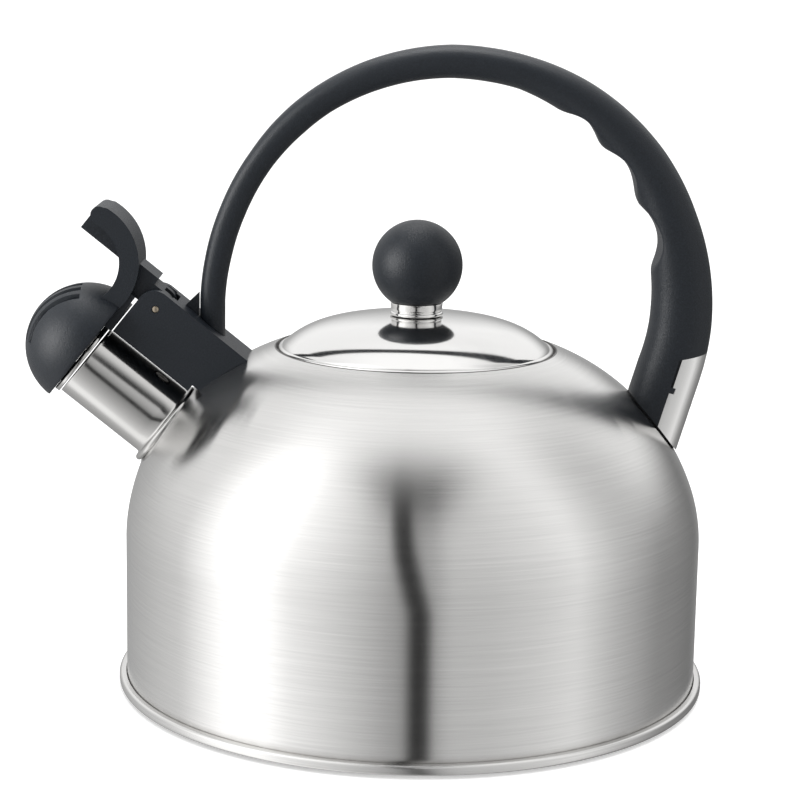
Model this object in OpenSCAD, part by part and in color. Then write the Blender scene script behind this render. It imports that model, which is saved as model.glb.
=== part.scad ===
// Stovetop whistling kettle: steel body, lift-off lid, arched grip, spout with a sprung whistle cap.
// Millimetres. The origin is the centre of the flat base, +Z is up and the spout points along -X.

/* [Body] */
// Outside diameter of the straight side
body_d = 190; // [150:1:230]
// Sheet thickness of the body
wall = 0.6; // [0.4:0.1:1.2]
// Height at which the straight side ends and the shoulder starts
side_h = 50; // [30:1:90]
// Radius of the shoulder arc
shoulder_r = 53; // [40:1:65]
// Angle that the shoulder arc sweeps
shoulder_sweep = 20; // [12:1:28]
// Radius of the dome arc above the shoulder
dome_r = 74; // [60:0.5:90]
// How far the base hem stands out from the side
hem_out = 2.5; // [1.5:0.1:4]
// Height of the base hem
hem_h = 3.2; // [2.6:0.1:5]
// Sheet thickness of the base
base_t = 0.8; // [0.6:0.1:1.5]
// How far the flat of the base stands below the hem
base_step = 1; // [0.6:0.1:2]
// Clear diameter of the filling opening
opening_d = 84; // [60:1:100]
// Depth of the turned-down lip of the filling opening
lip_h = 4; // [2:0.5:8]
// Depth of the sunk ring that the lid's edge rests on
lid_step = 1.6; // [0.4:0.1:3]

/* [Lid] */
// Overlap of the lid past the filling opening, on each side
lid_lap = 3.2; // [2:0.5:6]
// Height of the lid's dome above its rim
lid_rise = 10.6; // [6:0.1:18]
// Share of the lid's rise that is a plain parabola
lid_round = 0.4; // [0:0.05:1]
// Fullness of the rest of the lid's rise: more keeps it flat for longer and steeper at the edge
lid_fullness = 5.5; // [2:0.1:8]
// Sheet thickness of the lid
lid_t = 0.6; // [0.4:0.1:1]
// Radius of the rolled bead at the lid's edge
lid_bead_r = 0.9; // [0.6:0.1:1.5]
// Depth of the lid's plug in the opening
plug_h = 8; // [4:0.5:14]
// Gap between the plug and the opening's lip
plug_gap = 0.5; // [0.3:0.1:1.5]
// Diameter of the knob
knob_d = 29.6; // [22:0.2:40]
// Diameter of the collar under the knob
collar_d = 17.4; // [13:0.5:21]
// Height of the collar under the knob
collar_h = 4.4; // [3:0.1:8]

/* [Spout] */
// Outside diameter of the spout tube
spout_d = 25.5; // [20:0.5:30]
// Sheet thickness of the spout tube
spout_t = 0.7; // [0.5:0.1:1.2]
// Length of the spout from its seat to its mouth
spout_len = 34.2; // [32:0.1:44]
// Angle of the spout above the horizontal
spout_tilt = 38.5; // [32:0.5:45]
// Angle round the dome arc at which the spout is seated
spout_at = 35.4; // [32:0.1:40]
// Depth of the seat's centre below the dome's surface
seat_depth = 0.7; // [0:0.1:3]
// How far the spout's bead stands out from the tube
bead_out = 2.4; // [2:0.1:4.5]
// Thickness of the spout's bead
bead_h = 2.2; // [1.2:0.1:3]

/* [Bracket] */
// Width of the bracket over the spout
bracket_w = 20; // [18:0.5:26]
// Gap between the bracket and the spout tube
bracket_gap = 2.6; // [1.5:0.1:5]
// Height of the bracket square to the spout
bracket_h = 20.2; // [18:0.2:26]
// Distance of the bracket's front face behind the spout's mouth
bracket_back = 1; // [0.5:0.1:3]
// Thickness of each cheek beside the lever
cheek_t = 3.2; // [2.4:0.1:4]
// Diameter of the hinge pin
pin_d = 2.5; // [2:0.1:4]

/* [Whistle] */
// Outside diameter of the whistle cap
cap_d = 41.4; // [38:0.2:46]
// Wall of the whistle cap
cap_wall = 2; // [1.4:0.1:3]
// How far the cap's centre is from the spout's axis, towards the hinge
cap_shift = 4.5; // [2:0.5:6]
// Gap between the whistle's rim and the spout's mouth
mouth_gap = 0.3; // [0.2:0.05:0.6]
// Height of the whistle's metal rim
rim_h = 1.7; // [1.5:0.1:3]
// Number of steam slots
slot_n = 6; // [3:1:7]
// Spacing of the steam slots
slot_pitch = 4.1; // [3:0.1:5]
// Width of a steam slot
slot_w = 2.2; // [1:0.1:2.5]
// Half of the angle that each steam slot spans
slot_half = 39; // [20:1:50]
// How far the slots lean from the spout's axis towards the hinge, in degrees
slot_lean = 8; // [0:1:20]
// Diameter of the holes in the whistle plates
whistle_hole_d = 3.6; // [2:0.1:5]

/* [Lever] */
// Width of the thumb lever
lever_w = 20; // [14:0.5:26]
// Thickness of the thumb lever
lever_t = 6.4; // [4:0.1:8]
// Outside radius of the lever's curve
lever_r = 20.4; // [17:0.2:24]
// Wire diameter of the closing spring
spring_wire_d = 0.9; // [0.6:0.1:1.2]
// Turns of the closing spring
spring_turns = 4; // [3:1:5]

/* [Handle] */
// Thickness of the handle at the front leg
rod_t = 8.2; // [7:0.1:12]
// Thickness of the handle at the rear leg
grip_t = 21; // [17:0.5:26]
// Width of the handle at the rear leg
grip_w = 22; // [18:0.5:28]
// Angle round the dome arc at which the rear leg stands
foot_at = 40.3; // [38:0.1:46]
// Lean of the rear leg from the vertical
leg_lean = 16; // [8:0.5:22]
// Length of the straight part of the rear leg
leg_straight = 17; // [12:0.5:26]
// Depth of the finger hollows
finger_depth = 3.4; // [1:0.1:5]
// Thickness of the pad under the rear leg
pad_t = 0.5; // [0.3:0.1:2]
// Sheet thickness of the steel trim on the rear leg
trim_t = 1; // [0.6:0.1:1.5]

/* [Hidden] */

$fn = 96;
fit = 0.05;          // clearance of parts that seat on each other
run = 0.3;           // clearance of parts that move past each other
far = 200;           // longer than any cut needs

// body
body_r = body_d / 2;
hem_top = base_step + hem_h;
side_low = base_step + base_t;
flange_out = hem_out - base_t;
shoulder_x = body_r - shoulder_r;
dome_x = shoulder_x + (shoulder_r - dome_r) * cos(shoulder_sweep);
dome_z = side_h + (shoulder_r - dome_r) * sin(shoulder_sweep);
opening_r = opening_d / 2;

// lid
lid_r = opening_r + lid_lap;
seat_ring_r = lid_r + 0.8;
seat_ring_z = dome_top(seat_ring_r) - lid_step;
seat_slant = 0.5;     // run of the sunk ring's sloping wall
lip_low = seat_ring_z - lip_h;
lid_low = seat_ring_z + run / 2;
lid_edge_z = lid_low + 1.7 * lid_bead_r;
lid_top = lid_edge_z + lid_rise;
plug_r = opening_r - plug_gap;
collar_top = lid_top + collar_h;
knob_r = knob_d / 2;
knob_z = collar_top + sqrt(pow(knob_r, 2) - pow(collar_d / 2, 2));
lid_screw_r = 2;
insert_r = 3.4;
insert_h = 11;
washer_r = 5;
washer_t = 0.6;

// spout
spout_r = spout_d / 2;
seat = dome_point(spout_at, -seat_depth);
bead_low = -0.6;
bead_r = spout_r + bead_out;

// bracket, in the spout's frame: x is square to the spout, z runs along it to the mouth
bracket_low = spout_r + bracket_gap;
bracket_top = bracket_low + bracket_h;
bracket_front = spout_len - bracket_back;
nose_r = 6;
pin_r = pin_d / 2;
pin_x = bracket_top - nose_r + 0.2;
pin_z = bracket_front - nose_r - 0.3;
hub_r = bracket_top - pin_x - 0.2;
pocket_r = hub_r + 0.6;
arm_w = bracket_w - 2 * cheek_t - 2 * run;
window_w = 9.2;
window_l = 2;
spring_r = 3.3;
spring_slot_w = (spring_turns + 1) * (spring_wire_d + 0.1) + 0.6;
tab_w = 10;
tab_x = bracket_low + 4.2;
tab_t = 1.5;
tab_len = 16;
tab_screw_z = 11;
tab_screw_r = 1.5;
socket_r = 3.4;
socket_deep = 9;
socket_out = 9.25;

// whistle
cap_r = cap_d / 2;
rim_low = spout_len + mouth_gap;
cap_low = rim_low + rim_h + 0.1;
rim_r = spout_r + 0.7;
tube_r = rim_r - 0.4;
plate_r = rim_r - 1.2;
plate_t = 0.5;
tongue_t = 1.8;       // under the cap, above its screw's head
cap_screw_x = (tube_r + cap_r + cap_shift - cap_wall) / 2 + 0.6;
cap_screw_r = 1.25;
cap_head_r = 2.4;

// lever, whose curve turns about a point in the spout's frame
curve_x = cap_shift + cap_r + 0.3;
curve_z = bracket_front + 2.7 + lever_r;
tip_turn = 16;
rib_w = 4;
rib_x = curve_x + 8.5;
hook_x = bracket_top + 2.1;

// handle
socket_at = spout_point(bracket_top, socket_out);
foot = dome_point(foot_at, 0);
arch_r = (foot[0] + grip_t / 2 * cos(leg_lean) + leg_straight * sin(leg_lean)
          - (socket_at[0] - rod_t / 2)) / (1 + cos(leg_lean));
arch_x = socket_at[0] - rod_t / 2 + arch_r;
arch_z = foot[1] - (grip_t / 2 - arch_r) * sin(leg_lean) + leg_straight * cos(leg_lean);
section_power = 2.4;
section_n = 20;
// crests between the fingers: [angle round the arch, thickness of the handle there]
crests = [[75, 10.9], [63, 12.5], [49, 14.3], [31.3, 16.1], [11.6, 19]];
// how far each hollow leans down the arch, from the front one: 1 is even, less is lower
hollow_lean = [1, 1, 0.8];
// depth of each hollow as a share of the finger depth
hollow_share = [0.85, 1, 1.35];
trim_wrap = 87.5;
trim_front = 1.5;
trim_groove = 1.1;    // open strip of the leg in front of the trim, above its notch
trim_up = leg_straight + 8;
notch_z = leg_straight - 6;
tab_rear_t = 2;
tab_rear_w = 12;
tab_rear_h = 15;
pad_long = grip_t / 2 / cos(90 - foot_at - leg_lean) - 0.4;
pad_w = grip_w - 0.8;
rear_screw_z = 8;
rear_screw_r = 2;
rear_head_h = 2.2;
head_sunk = 0.4;      // of the rear screw's head below the back of the leg

// ---- places on the dome and in the frames ----

// Point of the dome arc at an angle from the horizontal, moved out square to it
function dome_point(angle, out) =
    [dome_x + (dome_r + out) * cos(angle), dome_z + (dome_r + out) * sin(angle)];

// Height of the dome's outside at a distance from the axis
function dome_top(r) = dome_z + dome_r * sin(acos((r - dome_x) / dome_r));

// Point of the xz plane for a place in the spout's frame
function spout_point(x, z) =
    [-seat[0] + x * sin(spout_tilt) - z * cos(spout_tilt),
     seat[1] + x * cos(spout_tilt) + z * sin(spout_tilt)];

// Outline points of an arc in the xz plane
function arc(cx, cz, r, from, to, n) =
    [for (i = [0 : n]) let (a = from + (to - from) * i / n) [cx + r * cos(a), cz + r * sin(a)]];

// Puts its children in the spout's frame
module spout_frame() {
    translate([-seat[0], 0, seat[1]]) rotate([0, spout_tilt - 90, 0]) children();
}

// Puts its children in the rear leg's frame: x points out of the back of the leg, z up it
module leg_frame() {
    translate([foot[0], 0, foot[1]]) rotate([0, leg_lean, 0]) children();
}

// Puts its children square on the dome under the rear leg
module foot_frame() {
    translate([foot[0], 0, foot[1]]) rotate([0, 90 - foot_at, 0]) children();
}

// Extrudes an outline drawn in the xz plane to a width centred on y = 0
module slab(width) {
    rotate([90, 0, 0]) linear_extrude(width, center = true) children();
}

// Solid from one height to another
module rod(r, from, to) {
    translate([0, 0, from]) cylinder(r = r, h = to - from);
}

// Rod along x in the current frame
module rod_x(r, from, to, z) {
    translate([from, 0, z]) rotate([0, 90, 0]) cylinder(r = r, h = to - from);
}

// Rod along y in the current frame, at a place in its xz plane
module rod_y(r, width, x, z) {
    translate([x, width / 2, z]) rotate([90, 0, 0]) cylinder(r = r, h = width);
}

// Pan-head screw standing on its head, with a cross recess
module pan_screw(r, length, head_r, head_h) {
    difference() {
        union() {
            rod(head_r, -head_h, 0);
            rod(r, -0.01, length);
        }
        for (a = [0, 90])
            rotate(a) translate([0, 0, -head_h]) cube([head_r * 1.1, 0.8, head_h], center = true);
    }
}

// ---- body ----

// Outside of the body as a solid, grown square to its surface
module body_envelope(grow, facets = 96) {
    rotate_extrude($fn = facets) polygon(concat(
        [[0, side_low], [body_r + grow, side_low]],
        arc(shoulder_x, side_h, shoulder_r + grow, 0, shoulder_sweep, 8),
        arc(dome_x, dome_z, dome_r + grow, shoulder_sweep + 2, dome_end(seat_ring_r), 24),
        [[seat_ring_r - seat_slant, seat_ring_z + grow], [0, seat_ring_z + grow]]));
}

// Angle of the dome arc at a distance from the axis
function dome_end(r) = acos((r - dome_x) / dome_r);

module body_shell() {
    color("silver") union() {
        difference() {
            union() {
                body_envelope(0);
                rod(body_r + flange_out, side_low, side_low + wall);
                spout_frame() rod(bead_r - 0.2, -3, bead_low - fit);
            }
            body_cavity();
            rod(opening_r, dome_z, far);
            spout_frame() {
                rod(spout_r + fit, -12, 8);
                rod(bead_r + run, bead_low - fit, 8);
            }
        }
        difference() {
            rod(opening_r + wall, lip_low, seat_ring_z - wall / 2);
            rod(opening_r, 0, far);
        }
    }
}

// Space inside the body's sheet
module body_cavity() {
    rotate_extrude() polygon(concat(
        [[0, 0], [body_r - wall, 0]],
        arc(shoulder_x, side_h, shoulder_r - wall, 0, shoulder_sweep, 8),
        arc(dome_x, dome_z, dome_r - wall, shoulder_sweep + 2, dome_end(seat_ring_r + wall), 24),
        [[seat_ring_r - seat_slant + wall, seat_ring_z - wall], [0, seat_ring_z - wall]]));
}

// Base sheet with its flat, its step and the hem that holds the body's flange
module base_plate() {
    flat_r = body_r - 9;
    hem_r = body_r + hem_out;
    round_r = 0.7;
    color("silver") difference() {
        rotate_extrude() polygon(concat(
            [[0, 0], [flat_r, 0], [flat_r + 2, base_step]],
            arc(hem_r - round_r, base_step + round_r, round_r, -90, 0, 6),
            arc(hem_r - round_r, hem_top - round_r, round_r, 0, 90, 6),
            [[body_r + fit, hem_top], [body_r + fit, side_low], [flat_r + 1.6, side_low],
             [flat_r - 0.4, base_t], [0, base_t]]));
        rod(body_r + flange_out + fit, side_low, side_low + wall + fit);
    }
}

// ---- spout and bracket ----

module spout_tube() {
    flare = 1.2;
    color("gainsboro") spout_frame() difference() {
        union() {
            rod(spout_r, -2.9, spout_len);
            rod(spout_r + flare, -2.9, -2.3);
            rotate_extrude() polygon(concat(
                [[spout_r - 0.1, bead_low]],
                arc(bead_r - bead_h / 2, bead_low + bead_h / 2, bead_h / 2, -90, 90, 10),
                [[spout_r - 0.1, bead_low + bead_h]]));
        }
        rod(spout_r - spout_t, -far / 4, far / 4);
    }
}

// Side outline of the bracket, in the spout's frame
module bracket_outline() {
    difference() {
        translate([bracket_low, -14]) square([bracket_h, bracket_front + 14]);
        translate([bracket_top - nose_r, bracket_front - nose_r]) square(nose_r + 1);
    }
    translate([bracket_top - nose_r, bracket_front - nose_r]) circle(nose_r);
}

// Web that props the handle's front leg
module bracket_fin() {
    width = 3.2;
    front = socket_at[0] - rod_t / 2 - fit;
    low = spout_height(front);
    color("black") slab(width)
        polygon([[front, low - 2], [front, low + 7.6], [front - 4.2, spout_height(front - 4.2) + 0.2],
                 [front - 4.2, spout_height(front - 4.2) - 2]]);
}

// Height of the bracket's top face above a place on the x axis
function spout_height(x) =
    seat[1] + (bracket_top - (x + seat[0]) * sin(spout_tilt)) / cos(spout_tilt);

module spout_bracket() {
    color("black") difference() {
        union() {
            spout_frame() slab(bracket_w) bracket_outline();
            bracket_fin();
        }
        body_envelope(fit);
        spout_frame() {
            slab(arm_w + 2 * run) {
                translate([pin_x, pin_z]) circle(pocket_r);
                translate([pin_x - pocket_r, pin_z]) square([far, far]);
            }
            translate([bracket_top - 4, -window_w / 2, pin_z - 2 - window_l])
                cube([5, window_w, window_l + 1]);
            rod_y(pin_r, bracket_w + 1, pin_x, pin_z);
            translate([tab_x - fit, -tab_w / 2 - fit, -14])
                cube([tab_t + 2 * fit, tab_w + 2 * fit, 14 + tab_len + 0.3]);
            rod_x(3.2, bracket_low - 1, bracket_low + 2.2, tab_screw_z);
            rod_x(tab_screw_r, bracket_low, bracket_low + 11.5, tab_screw_z);
            translate([bracket_low - 1, -spout_r, -14])
                cube([3.4, 2 * spout_r, 14 + bead_low + bead_h + 0.5]);
        }
        translate([socket_at[0], 0, 0]) {
            rod(socket_r + fit, socket_at[1] - socket_deep - 0.2, far);
            rod(1.6, socket_at[1] - socket_deep - 8, far);
            rod(3.2, 0, socket_at[1] - socket_deep - 4);
        }
    }
}

// Steel strip welded to the dome that the bracket is screwed to
module bracket_tab() {
    color("gray") difference() {
        spout_frame() difference() {
            translate([tab_x, -tab_w / 2, -8]) cube([tab_t, tab_w, 8 + tab_len]);
            rod_x(tab_screw_r + fit, tab_x - 1, tab_x + tab_t + 1, tab_screw_z);
        }
        body_envelope(0);
    }
}

module bracket_screw() {
    color("gray") spout_frame() translate([bracket_low + 2.2, 0, tab_screw_z]) rotate([0, 90, 0])
        pan_screw(tab_screw_r, 9, 3, 1.8);
}

module hinge_pin() {
    color("goldenrod") spout_frame() rod_y(pin_r, bracket_w - 0.4, pin_x, pin_z);
}

// Ring of points of a wire at a place, square to a direction in the xz plane
function wire_ring(p, angle, r) =
    [for (i = [0 : 7]) let (a = i * 45)
        [p[0] + r * cos(a) * cos(angle), p[1] + r * sin(a), p[2] + r * cos(a) * sin(angle)]];

// Faces of a tube made of rings of n points
function tube_faces(rings, n) = concat(
    [[for (i = [0 : n - 1]) n - 1 - i]],
    [for (k = [0 : rings - 2], i = [0 : n - 1])
        [k * n + i, k * n + (i + 1) % n, (k + 1) * n + (i + 1) % n, (k + 1) * n + i]],
    [[for (i = [0 : n - 1]) (rings - 1) * n + i]]);

// Closing spring: a coil round the pin with a leg at each end
module lever_spring() {
    pitch = spring_wire_d + 0.1;
    steps = 16 * spring_turns;
    leg_back = 4.8;
    leg_out = 5;
    half = spring_turns * pitch / 2;
    wire = spring_wire_d / 2;
    path = concat(
        [[[pin_x + spring_r, -half, pin_z - leg_back], 0]],
        [for (i = [0 : steps]) let (a = i * 22.5)
            [[pin_x + spring_r * cos(a), -half + pitch * i / 16, pin_z + spring_r * sin(a)], a]],
        [[[pin_x + spring_r, half, pin_z + leg_out], 0]]);
    color("gray") spout_frame() polyhedron(
        [for (s = path) each wire_ring(s[0], s[1], wire)],
        tube_faces(len(path), 8), 4);
}

// ---- whistle cap and lever ----

module whistle_cap() {
    boss_r = 3;
    color("black") spout_frame() difference() {
        intersection() {
            union() {
                difference() {
                    translate([cap_shift, 0, cap_low]) sphere(cap_r);
                    translate([cap_shift, 0, cap_low]) sphere(cap_r - cap_wall);
                }
                intersection() {
                    translate([cap_shift, 0, cap_low]) sphere(cap_r - cap_wall / 2);
                    difference() {
                        union() {
                            rod(tube_r, cap_low, far);
                            translate([cap_screw_x, 0, 0]) rod(boss_r, cap_low, far);
                        }
                        rod(tube_r - 1.6, 0, far);
                    }
                }
            }
            rod(far, cap_low, far);
        }
        difference() {
            for (i = [0 : slot_n - 1])
                translate([cap_shift, (i - (slot_n - 1) / 2) * slot_pitch, cap_low]) steam_slot();
            translate([cap_shift, 0, cap_low]) sphere(cap_r - cap_wall - 1);
        }
        translate([cap_screw_x, 0, 0]) rod(cap_screw_r, 0, cap_low + 8);
    }
}

// Sector that cuts one steam slot through the cap's wall
module steam_slot() {
    middle = 90 - slot_lean;
    slab(slot_w)
        polygon(concat([[0, 0]], arc(0, 0, cap_r * 1.3, middle - slot_half, middle + slot_half, 8)));
}

// Curved band of the lever, in the spout's frame
module lever_band() {
    inner = lever_r - lever_t;
    mid = lever_r - lever_t / 2;
    polygon(concat(
        arc(curve_x, curve_z, lever_r, -106, tip_turn - 8, 28),
        arc(curve_x + mid * cos(tip_turn - 4), curve_z + mid * sin(tip_turn - 4),
            lever_t / 2 - 0.4, 10, 170, 8),
        arc(curve_x, curve_z, inner, tip_turn, -106, 28)));
}

module thumb_lever() {
    inner = lever_r - lever_t;
    color("black") spout_frame() difference() {
        union() {
            slab(lever_w) lever_band();
            slab(rib_w) difference() {
                translate([rib_x, curve_z - inner * 0.75]) square([9, inner * 0.75 + 6]);
                translate([curve_x, curve_z]) difference() {
                    circle(2 * lever_r);
                    circle(inner + 1);
                }
            }
            slab(arm_w) {
                translate([pin_x, pin_z]) circle(hub_r);
                translate([pin_x, pin_z]) square([hub_r, bracket_front - pin_z - 0.9]);
                difference() {
                    translate([pin_x - 1.8, bracket_front - 1])
                        square([hook_x - pin_x + 1.8, 9]);
                    translate([curve_x, curve_z]) circle(lever_r - 1);
                }
                translate([pin_x - 1.8, pin_z]) square([4, bracket_front - pin_z]);
            }
            slab(lever_w - 2) polygon([
                [cap_screw_x - 4, cap_low - fit], [cap_screw_x - 4, bracket_front + run],
                [curve_x - 3, bracket_front + run], [curve_x - 3, bracket_front + 1.1],
                [curve_x + 3, bracket_front + 1.1], [curve_x + 3, cap_low - fit]]);
        }
        rod_y(pin_r + fit, lever_w, pin_x, pin_z);
        slab(spring_slot_w) {
            translate([pin_x, pin_z]) circle(spring_r + spring_wire_d);
            translate([pin_x - far, pin_z - spring_r - spring_wire_d])
                square([far, 2 * (spring_r + spring_wire_d)]);
            translate([pin_x - far, pin_z - far]) square([2 * far, far + 1.6]);
            translate([pin_x + spring_r - spring_wire_d, pin_z]) square([2 * spring_wire_d, 5.6]);
        }
        intersection() {
            translate([cap_shift, 0, cap_low]) sphere(cap_r + fit);
            rod(far, cap_low - fit, far);
        }
        translate([cap_screw_x, 0, 0]) {
            rod(cap_screw_r + 0.2, 0, far);
            rod(cap_head_r + run, 0, cap_low - fit - tongue_t);
        }
    }
}

// Steel rim that closes on the spout's mouth and holds both plates
module whistle_rim() {
    color("silver") spout_frame() rotate_extrude() polygon([
        [plate_r - 0.8, rim_low], [rim_r - 0.3, rim_low], [rim_r, rim_low + 0.3],
        [rim_r, rim_low + rim_h], [plate_r + fit, rim_low + rim_h], [plate_r + fit, rim_low + 0.5],
        [plate_r - 0.8, rim_low + 0.5]]);
}

// Flat plate of the whistle
module whistle_plate_lower() {
    low = rim_low + 0.5 + fit;
    color("silver") spout_frame() difference() {
        rod(plate_r, low, low + plate_t);
        rod(whistle_hole_d / 2, 0, far);
    }
}

// Cupped plate of the whistle, which leaves a chamber above the flat one
module whistle_plate_upper() {
    low = rim_low + 0.5 + plate_t + 2 * fit;
    cup_r = tube_r - 3;
    cup_h = 3.2;
    color("silver") spout_frame() difference() {
        union() {
            rod(plate_r, low, low + plate_t);
            rod(cup_r, low, low + cup_h);
        }
        rod(cup_r - plate_t, 0, low + cup_h - plate_t);
        rod(whistle_hole_d / 2, 0, far);
    }
}

module cap_screw() {
    color("gray") spout_frame() translate([cap_screw_x, 0, cap_low - tongue_t - 2 * fit])
        pan_screw(cap_screw_r, 8, cap_head_r, 0.8);
}

// ---- handle ----

// Thickness of the handle at an angle round the arch, before the finger hollows
function arch_t(a) = lookup(a, concat(
    [[-leg_lean, grip_t], [0, grip_t - 1]],
    [for (c = [4 : -1 : 0]) crests[c]],
    [[90, 10.7], [110, 10.1], [124, 9.5], [132, 9.4], [144, rod_t + 0.4], [168, rod_t + 0.3], [180, rod_t]]));

// How far the handle's outer side is drawn in from a true circle at an angle round the arch
function arch_in(a) = lookup(a, [
    [-4, 0], [8, 0.3], [22, 0.55], [38, 0.15], [60, 0.1], [74, 0.3], [84, 0.2], [92, -0.1],
    [112, -0.1], [124, 0], [130, 0.1], [136, 0.35], [144, 0.8], [158, 0.95], [170, 0.7], [180, 0.3]]);

// Depth of the finger hollow at an angle round the arch
function hollow(a) = let (between = [for (i = [1 : 3]) if (a < crests[i][0] && a > crests[i + 1][0]) i])
    len(between) == 0 ? 0 :
    finger_depth * hollow_share[between[0] - 1]
    * sin(180 * pow((a - crests[between[0] + 1][0]) / (crests[between[0]][0] - crests[between[0] + 1][0]),
                    hollow_lean[between[0] - 1]));

// Width of the handle at an angle round the arch
function arch_w(a) = lookup(a,
    [[-leg_lean, grip_w], [20, grip_w - 0.5], [50, grip_w - 3],
     [80, 15], [110, 11.5], [150, 9], [180, rod_t]]);

// Angles of the arch's rings: close together in the grip, further apart in front
arch_rings = concat(
    [for (a = [180 : -6 : 84]) a],
    [for (a = [80 : -2.5 : 0]) a],
    [for (a = [-4 : -4 : 1 - leg_lean]) a]);

// One ring of the handle: its foot, its direction and its section
function section(ox, oz, a, t, w, inset) = [for (i = [0 : section_n - 1])
    let (q = 360 * i / section_n, c = cos(q), s = sin(q),
         u = sign(c) * pow(abs(c), 2 / section_power), v = sign(s) * pow(abs(s), 2 / section_power),
         r = arch_r - arch_in(a) - t / 2 + (t / 2 - inset) * u)
    [ox + r * cos(a), (w / 2 - inset) * v, oz + r * sin(a)]];

// Solid of the handle between its front end and its rear end, inset all round
module handle_sweep(inset) {
    front = [section(arch_x, arch_z - 40, 180, rod_t, rod_t, inset)];
    rear = [for (s = [0, leg_straight + 12])
        section(arch_x - s * sin(leg_lean), arch_z - s * cos(leg_lean), -leg_lean, grip_t, grip_w, inset)];
    rings = concat(front,
        [for (a = arch_rings)
            section(arch_x, arch_z, a, arch_t(a) - hollow(a), arch_w(a), inset)],
        rear);
    polyhedron([for (r = rings) each r], tube_faces(len(rings), section_n), 6);
}

// One ring of the band wrapped round the back of the rear leg
function band_ring(ox, oz, a, t, w, out, deep, wrap) = let (
    side = function (inset, from, to) [for (i = [0 : section_n - 4])
        let (q = from + (to - from) * i / (section_n - 4), c = cos(q), s = sin(q),
             r = arch_r - t / 2 + (t / 2 - inset) * pow(c, 2 / section_power))
        [ox + r * cos(a), (w / 2 - inset) * sign(s) * pow(abs(s), 2 / section_power), oz + r * sin(a)]])
    concat(side(-out, -wrap, wrap), side(deep, wrap, -wrap));

// Band round the back of the rear leg, from a height out of its surface to a depth in it,
// cut at its slanted top
module rear_band(out, deep, wrap, gap, groove = 0) {
    edge = trim_front - gap - groove;
    rings = concat(
        [for (a = [4 : -4 : 1 - leg_lean])
            band_ring(arch_x, arch_z, a, arch_t(a), arch_w(a), out, deep, wrap)],
        [for (s = [0, leg_straight + 14])
            band_ring(arch_x - s * sin(leg_lean), arch_z - s * cos(leg_lean), -leg_lean,
                      grip_t, grip_w, out, deep, wrap)]);
    intersection() {
        polyhedron([for (r = rings) each r], tube_faces(len(rings), 2 * (section_n - 3)), 6);
        leg_frame() slab(grip_w + 10)
            polygon([[-4, -30], [-4, notch_z + 1 + gap], [edge, notch_z + 1 + gap],
                     [edge, trim_up - 2.4 + gap], [grip_t, trim_up + 7.1 + gap], [grip_t, -30]]);
    }
}

// Nibs of the leg that the trim's notches fit round
module trim_nib(gap) {
    leg_frame() translate([0, -grip_w, notch_z + gap])
        cube([trim_front + 1 - gap, 2 * grip_w, 2 - 2 * gap]);
}

// Cone of a countersunk head just below the back of the rear leg
module rear_head(grow, past = 0) {
    leg_frame() translate([grip_t / 2 - head_sunk - rear_head_h, 0, rear_screw_z]) rotate([0, 90, 0])
        cylinder(r1 = rear_screw_r + grow, r2 = rear_screw_r + rear_head_h + past + grow,
                 h = rear_head_h + past);
}

module handle_grip() {
    color("black") difference() {
        union() {
            difference() {
                handle_sweep(0);
                difference() {
                    rear_band(2, trim_t + fit, trim_wrap + 0.4, fit, trim_groove);
                    trim_nib(fit);
                }
                spout_frame() translate([bracket_top + fit - far, -far / 2, -far / 2]) cube(far);
            }
            translate([socket_at[0], 0, 0]) rod(socket_r, socket_at[1] - socket_deep, socket_at[1] + 6);
        }
        body_envelope(pad_t);
        translate([socket_at[0], 0, 0]) rod(1.5, 0, socket_at[1] + 3);
        leg_frame() {
            translate([-tab_rear_t / 2 - fit, -tab_rear_w / 2 - fit, -10])
                cube([tab_rear_t + 2 * fit, tab_rear_w + 2 * fit, 10 + tab_rear_h + 0.5]);
            rod_x(rear_screw_r + fit, -4, grip_t, rear_screw_z);
        }
        rear_head(fit, head_sunk + 0.5);
    }
}

module handle_front_screw() {
    color("gray") translate([socket_at[0], 0, socket_at[1] - socket_deep - 4])
        pan_screw(1.5 - fit, 15, 2.8, 1.8);
}

// Steel strip welded to the dome that stands in the rear leg
module rear_tab() {
    color("gray") difference() {
        leg_frame() difference() {
            translate([-tab_rear_t / 2, -tab_rear_w / 2, -6]) cube([tab_rear_t, tab_rear_w, 6 + tab_rear_h]);
            rod_x(rear_screw_r + fit, -5, 5, rear_screw_z);
        }
        body_envelope(0);
    }
}

// Pad between the rear leg and the dome
module rear_pad() {
    color("black") difference() {
        intersection() {
            foot_frame() translate([0, 0, -6]) linear_extrude(12) {
                for (i = [-1, 1]) translate([i * (pad_long - pad_w / 2), 0]) circle(pad_w / 2);
                square([2 * pad_long - pad_w, pad_w], center = true);
            }
            body_envelope(pad_t - fit, 360);
        }
        body_envelope(fit, 360);
        leg_frame() translate([-tab_rear_t / 2 - fit, -tab_rear_w / 2 - fit, -10])
            cube([tab_rear_t + 2 * fit, tab_rear_w + 2 * fit, 30]);
    }
}

// Polished steel shell wrapped round the back of the rear leg
module rear_trim() {
    color("silver") difference() {
        rear_band(0, trim_t, trim_wrap, 0);
        trim_nib(0);
        body_envelope(pad_t);
        leg_frame() rod_x(rear_screw_r + 0.3, 0, grip_t, rear_screw_z);
        rear_head(fit, head_sunk + 0.5);
    }
}

module rear_screw() {
    color("silver") {
        difference() {
            union() {
                rear_head(0);
                leg_frame() rod_x(rear_screw_r, -3, grip_t / 2 - rear_head_h - head_sunk + 0.1, rear_screw_z);
            }
            leg_frame() translate([grip_t / 2 - head_sunk, 0, rear_screw_z])
                for (a = [0, 90]) rotate([a, 0, 0]) cube([2, 3.6, 0.8], center = true);
        }
    }
}

// ---- lid ----

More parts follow.
